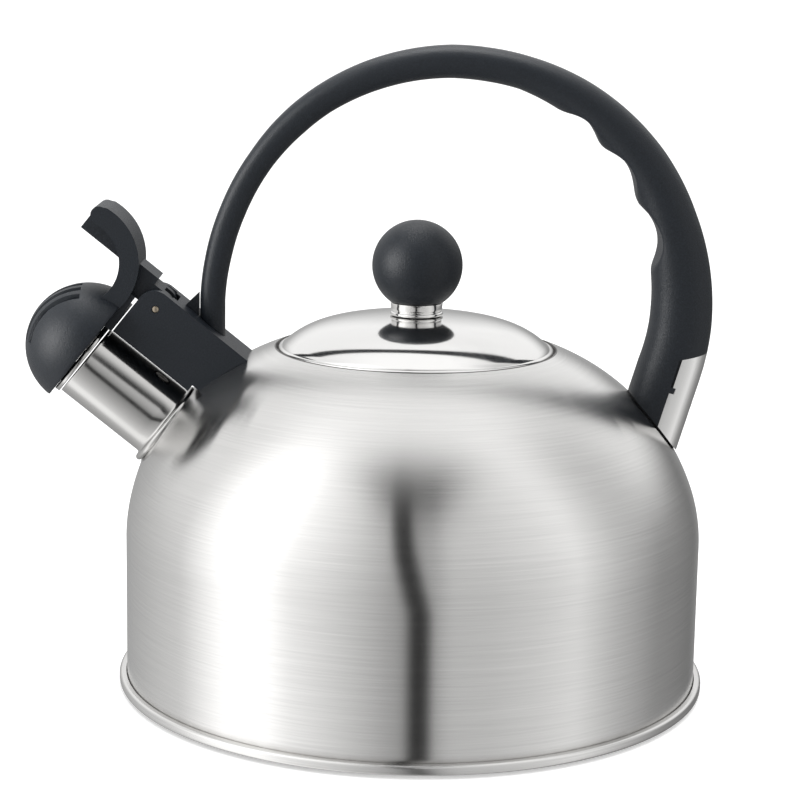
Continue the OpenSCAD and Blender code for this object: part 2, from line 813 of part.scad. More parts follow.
// Height of the lid's dome at a distance from the axis
function lid_z(r) = let (q = r / (lid_r - lid_bead_r))
    lid_edge_z + lid_rise * (1 - lid_round * q * q - (1 - lid_round) * pow(q, lid_fullness));

module lid_cover() {
    n = 28;
    edge = lid_r - lid_bead_r;
    color("gainsboro") difference() {
        rotate_extrude() polygon(concat(
            [for (i = [0 : n - 1]) [edge * i / n, lid_z(edge * i / n)]],
            arc(edge, lid_low + lid_bead_r, lid_bead_r, 110, -200, 20),
            [for (i = [n - 1 : -1 : 0]) [(edge - lid_t) * i / n, lid_z(edge * i / n) - lid_t]]));
        rod(lid_screw_r + 0.2, 0, far);
    }
}

// Ring that plugs the opening, fixed under the cover
module lid_plug() {
    top = lid_edge_z - 0.4;
    flange_r = lid_r - 2 * lid_bead_r - 0.2;
    low = lip_low + lip_h - plug_h;
    color("silver") difference() {
        union() {
            rod(flange_r, top - lid_t, top);
            rod(plug_r, low, top);
        }
        rod(plug_r - lid_t, 0, far);
    }
}

module lid_knob() {
    color("black") difference() {
        translate([0, 0, knob_z]) sphere(knob_r);
        rod(far, 0, collar_top + fit);
        rod(insert_r + fit, 0, collar_top + insert_h + 0.2);
    }
}

module knob_collar() {
    r = collar_d / 2;
    color("gainsboro") difference() {
        rotate_extrude() polygon([
            [0, collar_top], [r - 0.2, collar_top], [r, collar_top - 0.3], [r - 0.2, collar_top - 2.4],
            [r + 0.1, lid_top + 1.2], [r, lid_top + 0.5], [r - 0.5, lid_top + fit], [0, lid_top + fit]]);
        rod(r - 1, 0, collar_top - 1);
        rod(lid_screw_r + 0.2, 0, far);
    }
}

// Threaded bush moulded into the knob
module knob_insert() {
    color("goldenrod") difference() {
        rod(insert_r, collar_top + fit, collar_top + insert_h);
        rod(lid_screw_r + fit, 0, collar_top + insert_h - 1);
    }
}

module knob_screw() {
    under = lid_top - lid_t - washer_t - 2 * fit;
    color("gray") translate([0, 0, under]) pan_screw(lid_screw_r, collar_top + 8 - under, 3.6, 2.2);
}

module knob_washer() {
    color("gray") difference() {
        rod(washer_r, lid_top - lid_t - washer_t - fit, lid_top - lid_t - 0.1);
        rod(lid_screw_r + 0.2, 0, far);
    }
}

body_shell();
base_plate();
spout_tube();
spout_bracket();
bracket_tab();
bracket_screw();
hinge_pin();
lever_spring();
handle_grip();
handle_front_screw();
rear_tab();
rear_pad();
rear_trim();
rear_screw();
whistle_cap();
thumb_lever();
whistle_rim();
whistle_plate_lower();
whistle_plate_upper();
cap_screw();
lid_cover();
lid_plug();
lid_knob();
knob_collar();
knob_insert();
knob_screw();
knob_washer();
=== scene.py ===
"""Finishes the stovetop whistling kettle: smooth surfaces, rounded edges, metals, plastics and a studio.

Sizes in the settings are real sizes. Inside the makers they are worked out in millimetres.
"""

import math

import bmesh
import bpy
import numpy as np
from bpy.props import FloatProperty, FloatVectorProperty, IntProperty, PointerProperty
from bpy.types import Operator, Panel, PropertyGroup
from mathutils import Matrix, Vector


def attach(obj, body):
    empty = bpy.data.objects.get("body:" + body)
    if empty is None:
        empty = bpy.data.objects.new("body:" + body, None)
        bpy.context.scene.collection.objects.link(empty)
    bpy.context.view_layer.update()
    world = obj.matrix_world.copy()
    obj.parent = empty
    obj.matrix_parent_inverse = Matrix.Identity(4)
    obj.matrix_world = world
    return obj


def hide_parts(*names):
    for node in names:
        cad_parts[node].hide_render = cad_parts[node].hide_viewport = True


bl_info = {
    "name": "Stovetop whistling kettle",
    "version": (1, 0, 0),
    "blender": (4, 5, 0),
    "location": "View3D > Sidebar > Kettle",
    "description": "Makes the finished surfaces of a stovetop whistling kettle round its packed model",
    "category": "Object",
}

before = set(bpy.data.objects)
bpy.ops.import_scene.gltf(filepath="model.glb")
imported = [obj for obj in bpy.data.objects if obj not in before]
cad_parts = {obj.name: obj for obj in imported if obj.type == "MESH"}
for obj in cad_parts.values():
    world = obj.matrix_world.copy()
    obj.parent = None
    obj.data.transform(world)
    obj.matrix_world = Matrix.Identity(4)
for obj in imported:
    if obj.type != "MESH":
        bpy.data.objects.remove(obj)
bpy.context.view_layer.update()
MM = 0.001


# ---- settings ----


def size(name, description, default, **rest):
    """A length setting, in metres."""
    return FloatProperty(name=name, description=description, default=default, unit="LENGTH",
                         subtype="DISTANCE", precision=5, min=0.0, **rest)


def colour(name, description, default):
    """A colour setting."""
    return FloatVectorProperty(name=name, description=description, default=default, size=3,
                               subtype="COLOR", min=0.0, max=1.0)


def angle(name, description, degrees):
    """An angle setting."""
    return FloatProperty(name=name, description=description, default=math.radians(degrees),
                         unit="ROTATION", subtype="ANGLE")


class KettleBodySettings(PropertyGroup):
    """Sizes of the body and its base"""

    radius: size("Side radius", "Outside radius of the straight side", 0.095)
    wall: size("Wall", "Sheet thickness of the body", 0.0006)
    side_height: size("Side height", "Height where the shoulder starts", 0.05)
    shoulder_radius: size("Shoulder radius", "Radius of the shoulder's arc", 0.053)
    dome_radius: size("Dome radius", "Radius of the arc above the shoulder", 0.074)
    shoulder_sweep: angle("Shoulder sweep", "Angle of the shoulder's arc", 20)
    opening_radius: size("Opening radius", "Clear radius of the filling opening", 0.042)
    lip_height: size("Lip height", "Depth of the opening's turned-down lip", 0.004)
    lid_step: size("Lid step", "Depth of the sunk ring under the lid", 0.0016)
    hem_out: size("Hem stand-out", "How far the base hem stands out from the side", 0.0025)
    hem_height: size("Hem height", "Height of the base hem", 0.0032)
    base_step: size("Base step", "Depth of the step between the hem and the flat of the base", 0.001)
    boss_radius: size("Spout boss radius", "Radius of the swelling drawn up round the spout", 0.03)
    boss_height: size("Spout boss height", "Height of the swelling round the spout", 0.0012)


class KettleLidSettings(PropertyGroup):
    """Sizes of the lid and its knob"""

    radius: size("Lid radius", "Radius of the lid over its bead", 0.0452)
    rise: size("Lid rise", "Height of the lid's dome above its rim", 0.0106)
    roundness: FloatProperty(name="Lid roundness", description="Share of the rise that is a plain parabola",
                             default=0.4, min=0.0, max=1.0)
    fullness: FloatProperty(name="Lid fullness", description="How long the rest of the rise stays flat",
                            default=5.5, min=1.5, max=8.0)
    sheet: size("Lid sheet", "Sheet thickness of the lid", 0.0006)
    bead: size("Lid bead", "Radius of the rolled bead", 0.0009)
    knob_radius: size("Knob radius", "Radius of the ball knob", 0.0148)
    collar_radius: size("Collar radius", "Radius of the collar under the knob", 0.0087)


class KettleSpoutSettings(PropertyGroup):
    """Sizes of the spout and the whistle on it"""

    radius: size("Spout radius", "Outside radius of the spout", 0.01275)
    wall: size("Spout wall", "Sheet thickness of the spout", 0.0007)
    length: size("Spout length", "Length of the spout outside its seat", 0.0342)
    tilt: angle("Spout tilt", "Angle of the spout above the horizontal", 38.5)
    bead_radius: size("Bead radius", "Radius over the spout's bead", 0.01515)
    cap_radius: size("Cap radius", "Outside radius of the whistle cap", 0.0207)
    cap_wall: size("Cap wall", "Wall of the whistle cap", 0.002)
    slot_count: IntProperty(name="Slots", description="Number of steam slots", default=6, min=1, max=9)
    slot_pitch: size("Slot pitch", "Spacing of the steam slots", 0.0041)
    slot_width: size("Slot width", "Width of a steam slot", 0.0022)
    moulded_edge: size("Moulded edge", "Rounding of the moulded parts' edges", 0.0004)


class KettleHandleSettings(PropertyGroup):
    """Sizes of the arched handle"""

    rod: size("Front thickness", "Thickness of the handle's front leg", 0.0082)
    grip: size("Rear thickness", "Thickness of the handle's rear leg", 0.021)
    grip_width: size("Rear width", "Width of the handle's rear leg", 0.022)
    finger_depth: size("Finger depth", "Depth of the finger hollows", 0.0034)
    trim_sheet: size("Trim sheet", "Thickness of the steel trim", 0.001)


class KettleFinishSettings(PropertyGroup):
    """Colours of the kettle's materials"""

    satin: colour("Satin steel", "Colour of the brushed body", (0.68, 0.675, 0.665))
    polished: colour("Polished steel", "Colour of the lid, spout, collar and trim", (0.76, 0.755, 0.745))
    spout: colour("Spout steel", "Colour of the spout", (0.52, 0.515, 0.505))
    black: colour("Black plastic", "Colour of the moulded parts", (0.0065, 0.0085, 0.0115))
    rubber: colour("Rubber", "Colour of the pad under the handle", (0.004, 0.004, 0.005))
    brass: colour("Brass", "Colour of the pin and the bush", (0.42, 0.36, 0.28))
    plain: colour("Plain steel", "Colour of screws and strips", (0.5, 0.49, 0.48))
    floor: colour("Floor", "Colour of the floor", (0.9, 0.9, 0.9))


# ---- meshes ----


def new_piece(name, verts, faces, mat, uvs=None, smooth_to=40):
    """Makes an object from points in millimetres, with its faces outwards and its sharp edges marked."""
    mesh = bpy.data.meshes.new(name)
    mesh.from_pydata([tuple(c * MM for c in v) for v in verts], [], faces)
    if uvs:
        layer = mesh.uv_layers.new(name="UVMap")
        for poly, corners in zip(mesh.polygons, uvs):
            for loop, uv in zip(poly.loop_indices, corners):
                layer.data[loop].uv = uv
    work = bmesh.new()
    work.from_mesh(mesh)
    bmesh.ops.remove_doubles(work, verts=work.verts, dist=1e-7)
    bmesh.ops.recalc_face_normals(work, faces=work.faces)
    work.to_mesh(mesh)
    work.free()
    mesh.materials.append(mat)
    mesh.shade_smooth()
    mesh.set_sharp_from_angle(angle=math.radians(smooth_to))
    piece = bpy.data.objects.new(name, mesh)
    bpy.context.scene.collection.objects.link(piece)
    return piece


def place(piece, matrix):
    """Turns and moves a piece's mesh, in millimetres, and leaves its object at the origin."""
    moved = matrix.copy()
    moved.translation = moved.translation * MM
    piece.data.transform(moved)
    piece.data.update()
    return piece


def settle(piece, body, *nodes):
    """The piece rides on a body, in place of CAD nodes."""
    if nodes:
        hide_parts(*nodes)
    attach(piece, body)
    return piece


def bake(piece):
    """Applies a piece's modifiers to its mesh."""
    graph = bpy.context.evaluated_depsgraph_get()
    mesh = bpy.data.meshes.new_from_object(piece.evaluated_get(graph))
    piece.modifiers.clear()
    old = piece.data
    piece.data = mesh
    mesh.name = piece.name
    bpy.data.meshes.remove(old)
    return piece


def cut(piece, *cutters, operation="DIFFERENCE", keep=False):
    """Cuts closed meshes out of a piece and throws the cutters away."""
    for cutter in cutters:
        step = piece.modifiers.new("cut", "BOOLEAN")
        step.operation = operation
        step.solver = "EXACT"
        step.object = cutter
    bake(piece)
    if not keep:
        for cutter in cutters:
            bpy.data.objects.remove(cutter)
    return piece


def lathe(name, outline, mat, turns=192, smooth_to=40):
    """Turns an outline of (radius, height) round the Z axis. A point on the axis makes a closed pole."""
    closed = outline[0][0] > 0 or outline[-1][0] > 0
    points = list(outline) + ([outline[0]] if closed else [])
    run = [0.0]
    for a, b in zip(points, points[1:]):
        run.append(run[-1] + math.dist(a, b) * MM)
    verts, start = [], []
    for r, z in outline:
        start.append(len(verts))
        ring = 1 if r == 0 else turns
        verts += [(r * math.cos(2 * math.pi * k / turns), r * math.sin(2 * math.pi * k / turns), z)
                  for k in range(ring)]
    faces, uvs = [], []
    for i in range(len(points) - 1):
        j = (i + 1) % len(outline)
        for k in range(turns):
            n = (k + 1) % turns
            u0, u1 = k / turns, (k + 1) / turns
            corner = [(start[i] + (k if outline[i][0] else 0), (u0, run[i])),
                      (start[i] + (n if outline[i][0] else 0), (u1, run[i])),
                      (start[j] + (n if outline[j][0] else 0), (u1, run[i + 1])),
                      (start[j] + (k if outline[j][0] else 0), (u0, run[i + 1]))]
            seen, face, uv = set(), [], []
            for v, t in corner:
                if v not in seen:
                    seen.add(v)
                    face.append(v)
                    uv.append(t)
            if len(face) > 2:
                faces.append(face)
                uvs.append(uv)
    return new_piece(name, verts, faces, mat, uvs, smooth_to)


def tube(name, rings, mat, smooth_to=40):
    """Joins closed rings of points into a solid, with UVs round and along it."""
    n = len(rings[0])
    verts = [p for ring in rings for p in ring]
    faces = [[n - 1 - i for i in range(n)]]
    uvs = [[(0.0, 0.0)] * n]
    run = 0.0
    for k in range(len(rings) - 1):
        step = max(math.dist(a, b) for a, b in zip(rings[k], rings[k + 1])) * MM
        for i in range(n):
            j = (i + 1) % n
            faces.append([k * n + i, k * n + j, (k + 1) * n + j, (k + 1) * n + i])
            uvs.append([(i / n, run), ((i + 1) / n, run), ((i + 1) / n, run + step), (i / n, run + step)])
        run += step
    faces.append([(len(rings) - 1) * n + i for i in range(n)])
    uvs.append([(0.0, run)] * n)
    return new_piece(name, verts, faces, mat, uvs, smooth_to)


def arc(cx, cz, r, start, stop, n):
    """Points of an arc, from one angle in degrees to another."""
    return [(cx + r * math.cos(math.radians(start + (stop - start) * i / n)),
             cz + r * math.sin(math.radians(start + (stop - start) * i / n))) for i in range(n + 1)]


def table(at, rows):
    """Value between the rows of a table of (place, value), sorted by place."""
    return float(np.interp(at, [r[0] for r in rows], [r[1] for r in rows]))


def moulded(name, node, mat, edge, smooth_to=35):
    """Copies a CAD node's mesh, merges it and rounds its edges."""
    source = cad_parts[node]
    mesh = source.data.copy()
    mesh.name = name
    work = bmesh.new()
    work.from_mesh(mesh)
    work.transform(source.matrix_world)
    bmesh.ops.remove_doubles(work, verts=work.verts, dist=2e-6)
    bmesh.ops.dissolve_limit(work, angle_limit=math.radians(1.0), verts=work.verts, edges=work.edges)
    bmesh.ops.recalc_face_normals(work, faces=work.faces)
    work.to_mesh(mesh)
    work.free()
    for layer in list(mesh.uv_layers):
        mesh.uv_layers.remove(layer)
    mesh.materials.clear()
    mesh.materials.append(mat)
    piece = bpy.data.objects.new(name, mesh)
    bpy.context.scene.collection.objects.link(piece)
    if edge > 0:
        step = piece.modifiers.new("edges", "BEVEL")
        step.width = edge
        step.segments = 3
        step.limit_method = "ANGLE"
        step.angle_limit = math.radians(38)
        step.use_clamp_overlap = True
        bake(piece)
    piece.data.shade_smooth()
    piece.data.set_sharp_from_angle(angle=math.radians(smooth_to))
    step = piece.modifiers.new("even", "WEIGHTED_NORMAL")
    step.keep_sharp = True
    return bake(piece)


# ---- materials ----


class Tree:
    """Short hand for making a node tree."""

    def __init__(self, tree):
        self.tree = tree

    def node(self, kind, inputs=None, **settings):
        made = self.tree.nodes.new(kind)
        for key, value in settings.items():
            setattr(made, key, value)
        for key, value in (inputs or {}).items():
            socket = made.inputs[key]
            if isinstance(value, bpy.types.NodeSocket):
                self.tree.links.new(value, socket)
            else:
                socket.default_value = value
        return made

    def math(self, operation, a, b=0.0, c=0.0, clamp=False):
        return self.node("ShaderNodeMath", {0: a, 1: b, 2: c}, operation=operation, use_clamp=clamp).outputs[0]

    def ramp(self, value, stops, smooth=False):
        made = self.node("ShaderNodeValToRGB", {0: value})
        made.color_ramp.interpolation = "EASE" if smooth else "LINEAR"
        parts = made.color_ramp.elements
        while len(parts) < len(stops):
            parts.new(0.5)
        for part, (at, level) in zip(parts, stops):
            part.position = at
            rgb_level = level if isinstance(level, (tuple, list)) else (level, level, level)
            part.color = tuple(rgb_level) + (1.0,)
        return made.outputs[0]

    def noise(self, vector, scale, detail=2.0, rough=0.5):
        return self.node("ShaderNodeTexNoise", {"Vector": vector, "Scale": scale, "Detail": detail,
                                                "Roughness": rough}).outputs[0]

    def blend(self, factor, a, b, mode="MIX"):
        made = self.node("ShaderNodeMix", data_type="RGBA", blend_type=mode)
        for key, value in ((0, factor), (6, a), (7, b)):
            if isinstance(value, bpy.types.NodeSocket):
                self.tree.links.new(value, made.inputs[key])
            else:
                made.inputs[key].default_value = value
        return made.outputs[2]


def shader(name):
    """A new material: its tree, its shader and the object's own coordinates."""
    mat = bpy.data.materials.new(name)
    mat.use_nodes = True
    tree = Tree(mat.node_tree)
    bsdf = mat.node_tree.nodes["Principled BSDF"]
    place_at = tree.node("ShaderNodeTexCoord").outputs["Object"]
    return mat, tree, bsdf, place_at


def rgb(value, factor=1.0):
    """A colour with its alpha, made lighter or darker."""
    return tuple(min(1.0, c * factor) for c in value) + (1.0,)


# colours of the body's patchy darkening towards its foot, and of the painted shade in the ring sunk under the lid
FOOT_DARKENING = (0.16, 0.14, 0.12, 1.0)
SUNK_PAINTED_SHADE = (0.07, 0.065, 0.06, 1.0)


def brushed_steel(name, tint, rough=0.2, anisotropy=1.0, darker_below=None, painted_shade_in=None):
    """Steel brushed round the Z axis: fine lines that follow the surface's rings, with faint wear."""
    mat, t, bsdf, at = shader(name)
    xyz = t.node("ShaderNodeSeparateXYZ", {0: at})
    x, y, z = xyz.outputs
    radius = t.math("SQRT", t.math("ADD", t.math("MULTIPLY", x, x), t.math("MULTIPLY", y, y)))
    along = t.math("SUBTRACT", z, radius)

    def lines(per_metre, length):
        spot = t.node("ShaderNodeCombineXYZ", {0: t.math("MULTIPLY", x, length),
                                               1: t.math("MULTIPLY", y, length),
                                               2: t.math("MULTIPLY", along, per_metre)}).outputs[0]
        return t.noise(spot, 1.0, 2.0, 0.6)

    fine, coarse = lines(3400.0, 40.0), lines(1300.0, 14.0)
    brush = t.math("ADD", t.math("MULTIPLY", fine, 0.55), t.math("MULTIPLY", coarse, 0.45))
    cloud = t.noise(at, 22.0, 3.0, 0.55)
    tone = t.math("ADD", t.math("MULTIPLY", t.math("SUBTRACT", brush, 0.5), 1.0),
                  t.math("MULTIPLY", t.math("SUBTRACT", cloud, 0.5), 0.06))
    shade = t.math("ADD", 0.5, tone, clamp=True)
    base = t.blend(shade, rgb(tint, 0.84), rgb(tint, 1.16))
    # darker in patches towards the bottom, fading out between the two given heights
    if darker_below is not None:
        low, high = darker_below
        near = t.node("ShaderNodeMapRange", {"Value": z, "From Min": low, "From Max": high,
                                             "To Min": 1.0, "To Max": 0.0}).outputs[0]
        patch = t.math("MULTIPLY", near, t.noise(at, 160.0, 4.0, 0.7), clamp=True)
        base = t.blend(t.math("MULTIPLY", patch, 0.55), base, FOOT_DARKENING)
    # painted shade: the body's colour is darkened inside the ring sunk under the lid, where the lid's edge shades it
    if painted_shade_in is not None:
        inside = t.math("MULTIPLY", t.math("LESS_THAN", radius, painted_shade_in[0]),
                        t.math("GREATER_THAN", z, painted_shade_in[1]))
        base = t.blend(inside, base, SUNK_PAINTED_SHADE)
    mat.node_tree.links.new(base, bsdf.inputs["Base Color"])
    bsdf.inputs["Metallic"].default_value = 1.0
    gloss = t.math("ADD", rough - 0.04, t.math("ADD", t.math("MULTIPLY", brush, 0.05),
                                                t.math("MULTIPLY", cloud, 0.03)))
    mat.node_tree.links.new(gloss, bsdf.inputs["Roughness"])
    bsdf.inputs["Anisotropic"].default_value = anisotropy
    bsdf.inputs["Anisotropic Rotation"].default_value = 0.25
    tangent = t.node("ShaderNodeTangent", direction_type="UV_MAP", uv_map="UVMap").outputs[0]
    mat.node_tree.links.new(tangent, bsdf.inputs["Tangent"])
    bump = t.node("ShaderNodeBump", {"Strength": 0.12, "Distance": 0.00004, "Height": brush})
    mat.node_tree.links.new(bump.outputs[0], bsdf.inputs["Normal"])
    return mat


def polished_steel(name, tint, rough=0.09):
    """Buffed steel: a clear reflection with faint polishing swirls and finger marks."""
    mat, t, bsdf, at = shader(name)
    swirl = t.noise(t.node("ShaderNodeMapping", {"Vector": at, "Scale": (60.0, 60.0, 700.0)}).outputs[0],
                    1.0, 2.0, 0.5)
    marks = t.noise(at, 45.0, 4.0, 0.6)
    mark = t.node("ShaderNodeMapRange", {"Value": marks, "From Min": 0.52, "From Max": 0.75,
                                         "To Min": 0.0, "To Max": 1.0}).outputs[0]
    base = t.blend(t.math("MULTIPLY", mark, 0.5), rgb(tint), rgb(tint, 0.93))
    mat.node_tree.links.new(base, bsdf.inputs["Base Color"])
    bsdf.inputs["Metallic"].default_value = 1.0
    gloss = t.math("ADD", rough, t.math("ADD", t.math("MULTIPLY", mark, 0.05),
                                         t.math("MULTIPLY", swirl, 0.02)))
    mat.node_tree.links.new(gloss, bsdf.inputs["Roughness"])
    bump = t.node("ShaderNodeBump", {"Strength": 0.03, "Distance": 0.00002, "Height": swirl})
    mat.node_tree.links.new(bump.outputs[0], bsdf.inputs["Normal"])
    return mat


def moulded_black(name, tint, rough=0.36, grain=2300.0, depth=0.0002):
    """Moulded plastic with a fine spark-eroded grain, slightly polished where hands rub it."""
    mat, t, bsdf, at = shader(name)
    pits = t.noise(at, grain, 3.0, 0.65)
    cloud = t.noise(at, 30.0, 3.0, 0.5)
    base = t.blend(t.ramp(pits, [(0.35, 0.0), (0.7, 1.0)]), rgb(tint, 0.8), rgb(tint, 1.5))
    mat.node_tree.links.new(base, bsdf.inputs["Base Color"])
    gloss = t.math("ADD", rough, t.math("ADD", t.math("MULTIPLY", pits, 0.1),
                                         t.math("MULTIPLY", t.math("SUBTRACT", cloud, 0.5), 0.12)))
    mat.node_tree.links.new(gloss, bsdf.inputs["Roughness"])
    bsdf.inputs["Specular IOR Level"].default_value = 0.26
    bump = t.node("ShaderNodeBump", {"Strength": 0.6, "Distance": depth, "Height": pits})
    mat.node_tree.links.new(bump.outputs[0], bsdf.inputs["Normal"])
    return mat


def turned_metal(name, tint, rough=0.25):
    """Plain screw or strip metal with light scratches."""
    mat, t, bsdf, at = shader(name)
    scratch = t.noise(t.node("ShaderNodeMapping", {"Vector": at, "Scale": (2500.0, 300.0, 2500.0)}).outputs[0],
                      1.0, 3.0, 0.6)
    base = t.blend(scratch, rgb(tint, 0.75), rgb(tint, 1.2))
    mat.node_tree.links.new(base, bsdf.inputs["Base Color"])
    bsdf.inputs["Metallic"].default_value = 1.0
    mat.node_tree.links.new(t.math("ADD", rough, t.math("MULTIPLY", scratch, 0.15)), bsdf.inputs["Roughness"])
    bump = t.node("ShaderNodeBump", {"Strength": 0.1, "Distance": 0.00003, "Height": scratch})
    mat.node_tree.links.new(bump.outputs[0], bsdf.inputs["Normal"])
    return mat


FINISHES = {}


def finish(name):
    """The material of that name, made once."""
    if name not in FINISHES:
        tint = bpy.context.scene.kettle_finish
        makers = {
            # the body's steel; inside the lid's ring and 0.45 mm past it the colour carries painted shade, so a dark
            # line shows beside the lid's edge
            "satin_steel": lambda: brushed_steel("satin_steel", tint.satin, darker_below=(0.0035, 0.0065),
                                                 painted_shade_in=((lid_levels()["ring"] + 0.45) * MM, 0.09)),
            "hem_steel": lambda: brushed_steel("hem_steel", tint.satin, rough=0.24, anisotropy=0.5,
                                               darker_below=(0.0, 0.0025)),
            "polished_steel": lambda: polished_steel("polished_steel", tint.polished),
            "trim_steel": lambda: polished_steel("trim_steel", tint.polished, rough=0.2),
            "spout_steel": lambda: polished_steel("spout_steel", tint.spout, rough=0.15),
            "black_plastic": lambda: moulded_black("black_plastic", tint.black),
            "black_rubber": lambda: moulded_black("black_rubber", tint.rubber, rough=0.6, grain=1500.0),
            "plain_steel": lambda: turned_metal("plain_steel", tint.plain),
            "brass": lambda: turned_metal("brass", tint.brass, rough=0.2),
        }
        FINISHES[name] = makers[name]()
    return FINISHES[name]


# ---- shape of the body and places on it ----


def body_shape():
    """The body's sizes in millimetres and its two arcs."""
    s = bpy.context.scene.kettle_body
    d = {k: getattr(s, k) / MM for k in ("radius", "wall", "side_height", "shoulder_radius", "dome_radius",
                                         "opening_radius", "lip_height", "lid_step", "hem_out", "hem_height",
                                         "base_step", "boss_radius", "boss_height")}
    d["sweep"] = math.degrees(s.shoulder_sweep)
    d["shoulder_x"] = d["radius"] - d["shoulder_radius"]
    gap = d["shoulder_radius"] - d["dome_radius"]
    d["dome_x"] = d["shoulder_x"] + gap * math.cos(s.shoulder_sweep)
    d["dome_z"] = d["side_height"] + gap * math.sin(s.shoulder_sweep)
    return d


def dome_point(degrees, out=0.0):
    """Point of the dome's arc at an angle from the horizontal, moved out square to it."""
    d = body_shape()
    r = d["dome_radius"] + out
    return (d["dome_x"] + r * math.cos(math.radians(degrees)),
            d["dome_z"] + r * math.sin(math.radians(degrees)))


def dome_top(r):
    """Height of the dome's outside at a distance from the axis."""
    d = body_shape()
    return d["dome_z"] + math.sqrt(d["dome_radius"] ** 2 - (r - d["dome_x"]) ** 2)


def spout_matrix():
    """The spout's frame: z runs along the spout to its mouth and x is square to it, upwards."""
    seat = dome_point(SPOUT_AT, -SEAT_DEPTH)
    tilt = math.degrees(bpy.context.scene.kettle_spout.tilt)
    return Matrix.Translation((-seat[0], 0, seat[1])) @ Matrix.Rotation(math.radians(tilt - 90), 4, "Y")


def lid_levels():
    """Heights of the lid's bead, edge and top, and of the knob's parts."""
    lid = bpy.context.scene.kettle_lid
    d = body_shape()
    ring = lid.radius / MM + 0.8
    seat = dome_top(ring) - d["lid_step"]
    low = seat + 0.15
    edge = low + 1.7 * lid.bead / MM
    top = edge + lid.rise / MM
    collar = top + COLLAR_ABOVE
    r = lid.knob_radius / MM
    return {"ring": ring, "seat": seat, "low": low, "edge": edge, "top": top, "collar": collar,
            "knob": collar + math.sqrt(r * r - (lid.collar_radius / MM) ** 2)}


SPOUT_AT = 35.4        # degrees round the dome's arc where the spout is seated
SEAT_DEPTH = 0.7
SEAT_SLANT = 0.5       # run of the sunk ring's sloping wall
FOOT_AT = 40.3         # degrees round the dome's arc where the rear leg stands
LEG_LEAN = 16.0
LEG_STRAIGHT = 17.0
PAD = 0.5
COLLAR_ABOVE = 4.4     # how far the knob's collar stands above the lid's dome
PLUG_DEPTH = 7.5       # how far the lid's ring reaches below its seat
FIT = 0.05


# height between two rings of the body's straight side
SIDE_STEP = 2.35


class KETTLE_OT_body(Operator):
    """Makes the satin body with its collar round the spout"""

    bl_idname = "kettle.make_body"
    bl_label = "Body"

    def execute(self, context):
        d, lid = body_shape(), lid_levels()
        w, low = d["wall"], d["base_step"] + 0.8
        ring_r = lid["ring"]
        flange = d["radius"] + d["hem_out"] - 0.8

        def side(grow, reach):
            end = math.degrees(math.acos((reach - d["dome_x"]) / d["dome_radius"]))
            rows = int((d["side_height"] - low - 3) / SIDE_STEP)
            return ([(d["radius"] + grow, low + 3 + SIDE_STEP * i) for i in range(rows)]
                    + arc(d["shoulder_x"], d["side_height"], d["shoulder_radius"] + grow, 0, d["sweep"], 10)
                    + arc(d["dome_x"], d["dome_z"], d["dome_radius"] + grow, d["sweep"] + 1.2, end, 46))

        lip = lid["seat"] - d["lip_height"]
        inner = side(-w, ring_r + w)
        outline = ([(flange, low), (flange, low + w), (d["radius"] + 0.4, low + w),
                    (d["radius"], low + w + 0.4)]
                   + side(0, ring_r)
                   + [(ring_r - SEAT_SLANT + 0.08, lid["seat"] + 0.3),
                      (ring_r - SEAT_SLANT - 0.25, lid["seat"]),
                      (d["opening_radius"] + 0.5, lid["seat"])]
                   + arc(d["opening_radius"] + 0.5, lid["seat"] - 0.5, 0.5, 100, 180, 4)
                   + [(d["opening_radius"], lip), (d["opening_radius"] + w, lip),
                      (d["opening_radius"] + w, lid["seat"] - w), (ring_r - SEAT_SLANT + w, lid["seat"] - w)]
                   + inner[::-1] + [(d["radius"] - w, low)])
        shell = lathe("body", outline, finish("satin_steel"), turns=256, smooth_to=35)
        # the sheet is drawn up a little round the spout
        to_spout = spout_matrix().inverted()
        for v in shell.data.vertices:
            at = to_spout @ (v.co / MM)
            away = math.hypot(at.x, at.y)
            if at.z > -14 and away < d["boss_radius"] and v.co.x < 0:
                rise = 0.5 + 0.5 * math.cos(math.pi * away / d["boss_radius"])
                v.co += spout_matrix().to_3x3() @ Vector((0, 0, d["boss_height"] * rise * MM))
        spout = context.scene.kettle_spout.radius / MM
        hole = lathe("hole", [(0, -16), (spout + FIT, -16), (spout + FIT, 12), (0, 12)],
                     finish("satin_steel"), 96)
        place(hole, spout_matrix())
        cut(shell, hole)
        shell.data.set_sharp_from_angle(angle=math.radians(35))
        settle(shell, "kettle", "body_shell")
        outer = context.scene.kettle_spout.bead_radius / MM - 0.25
        collar = lathe("spout_collar",
                       [(spout + FIT, -3.0), (outer - 0.9, -3.0), (outer + 0.5, -2.4), (outer - 0.1, -1.7)]
                       + arc(outer - 0.5, -1.25, 0.55, -30, 90, 6)
                       + [(spout + FIT, -0.7)], finish("satin_steel"), 128, 50)
        place(collar, spout_matrix())
        settle(collar, "kettle")
        return {"FINISHED"}


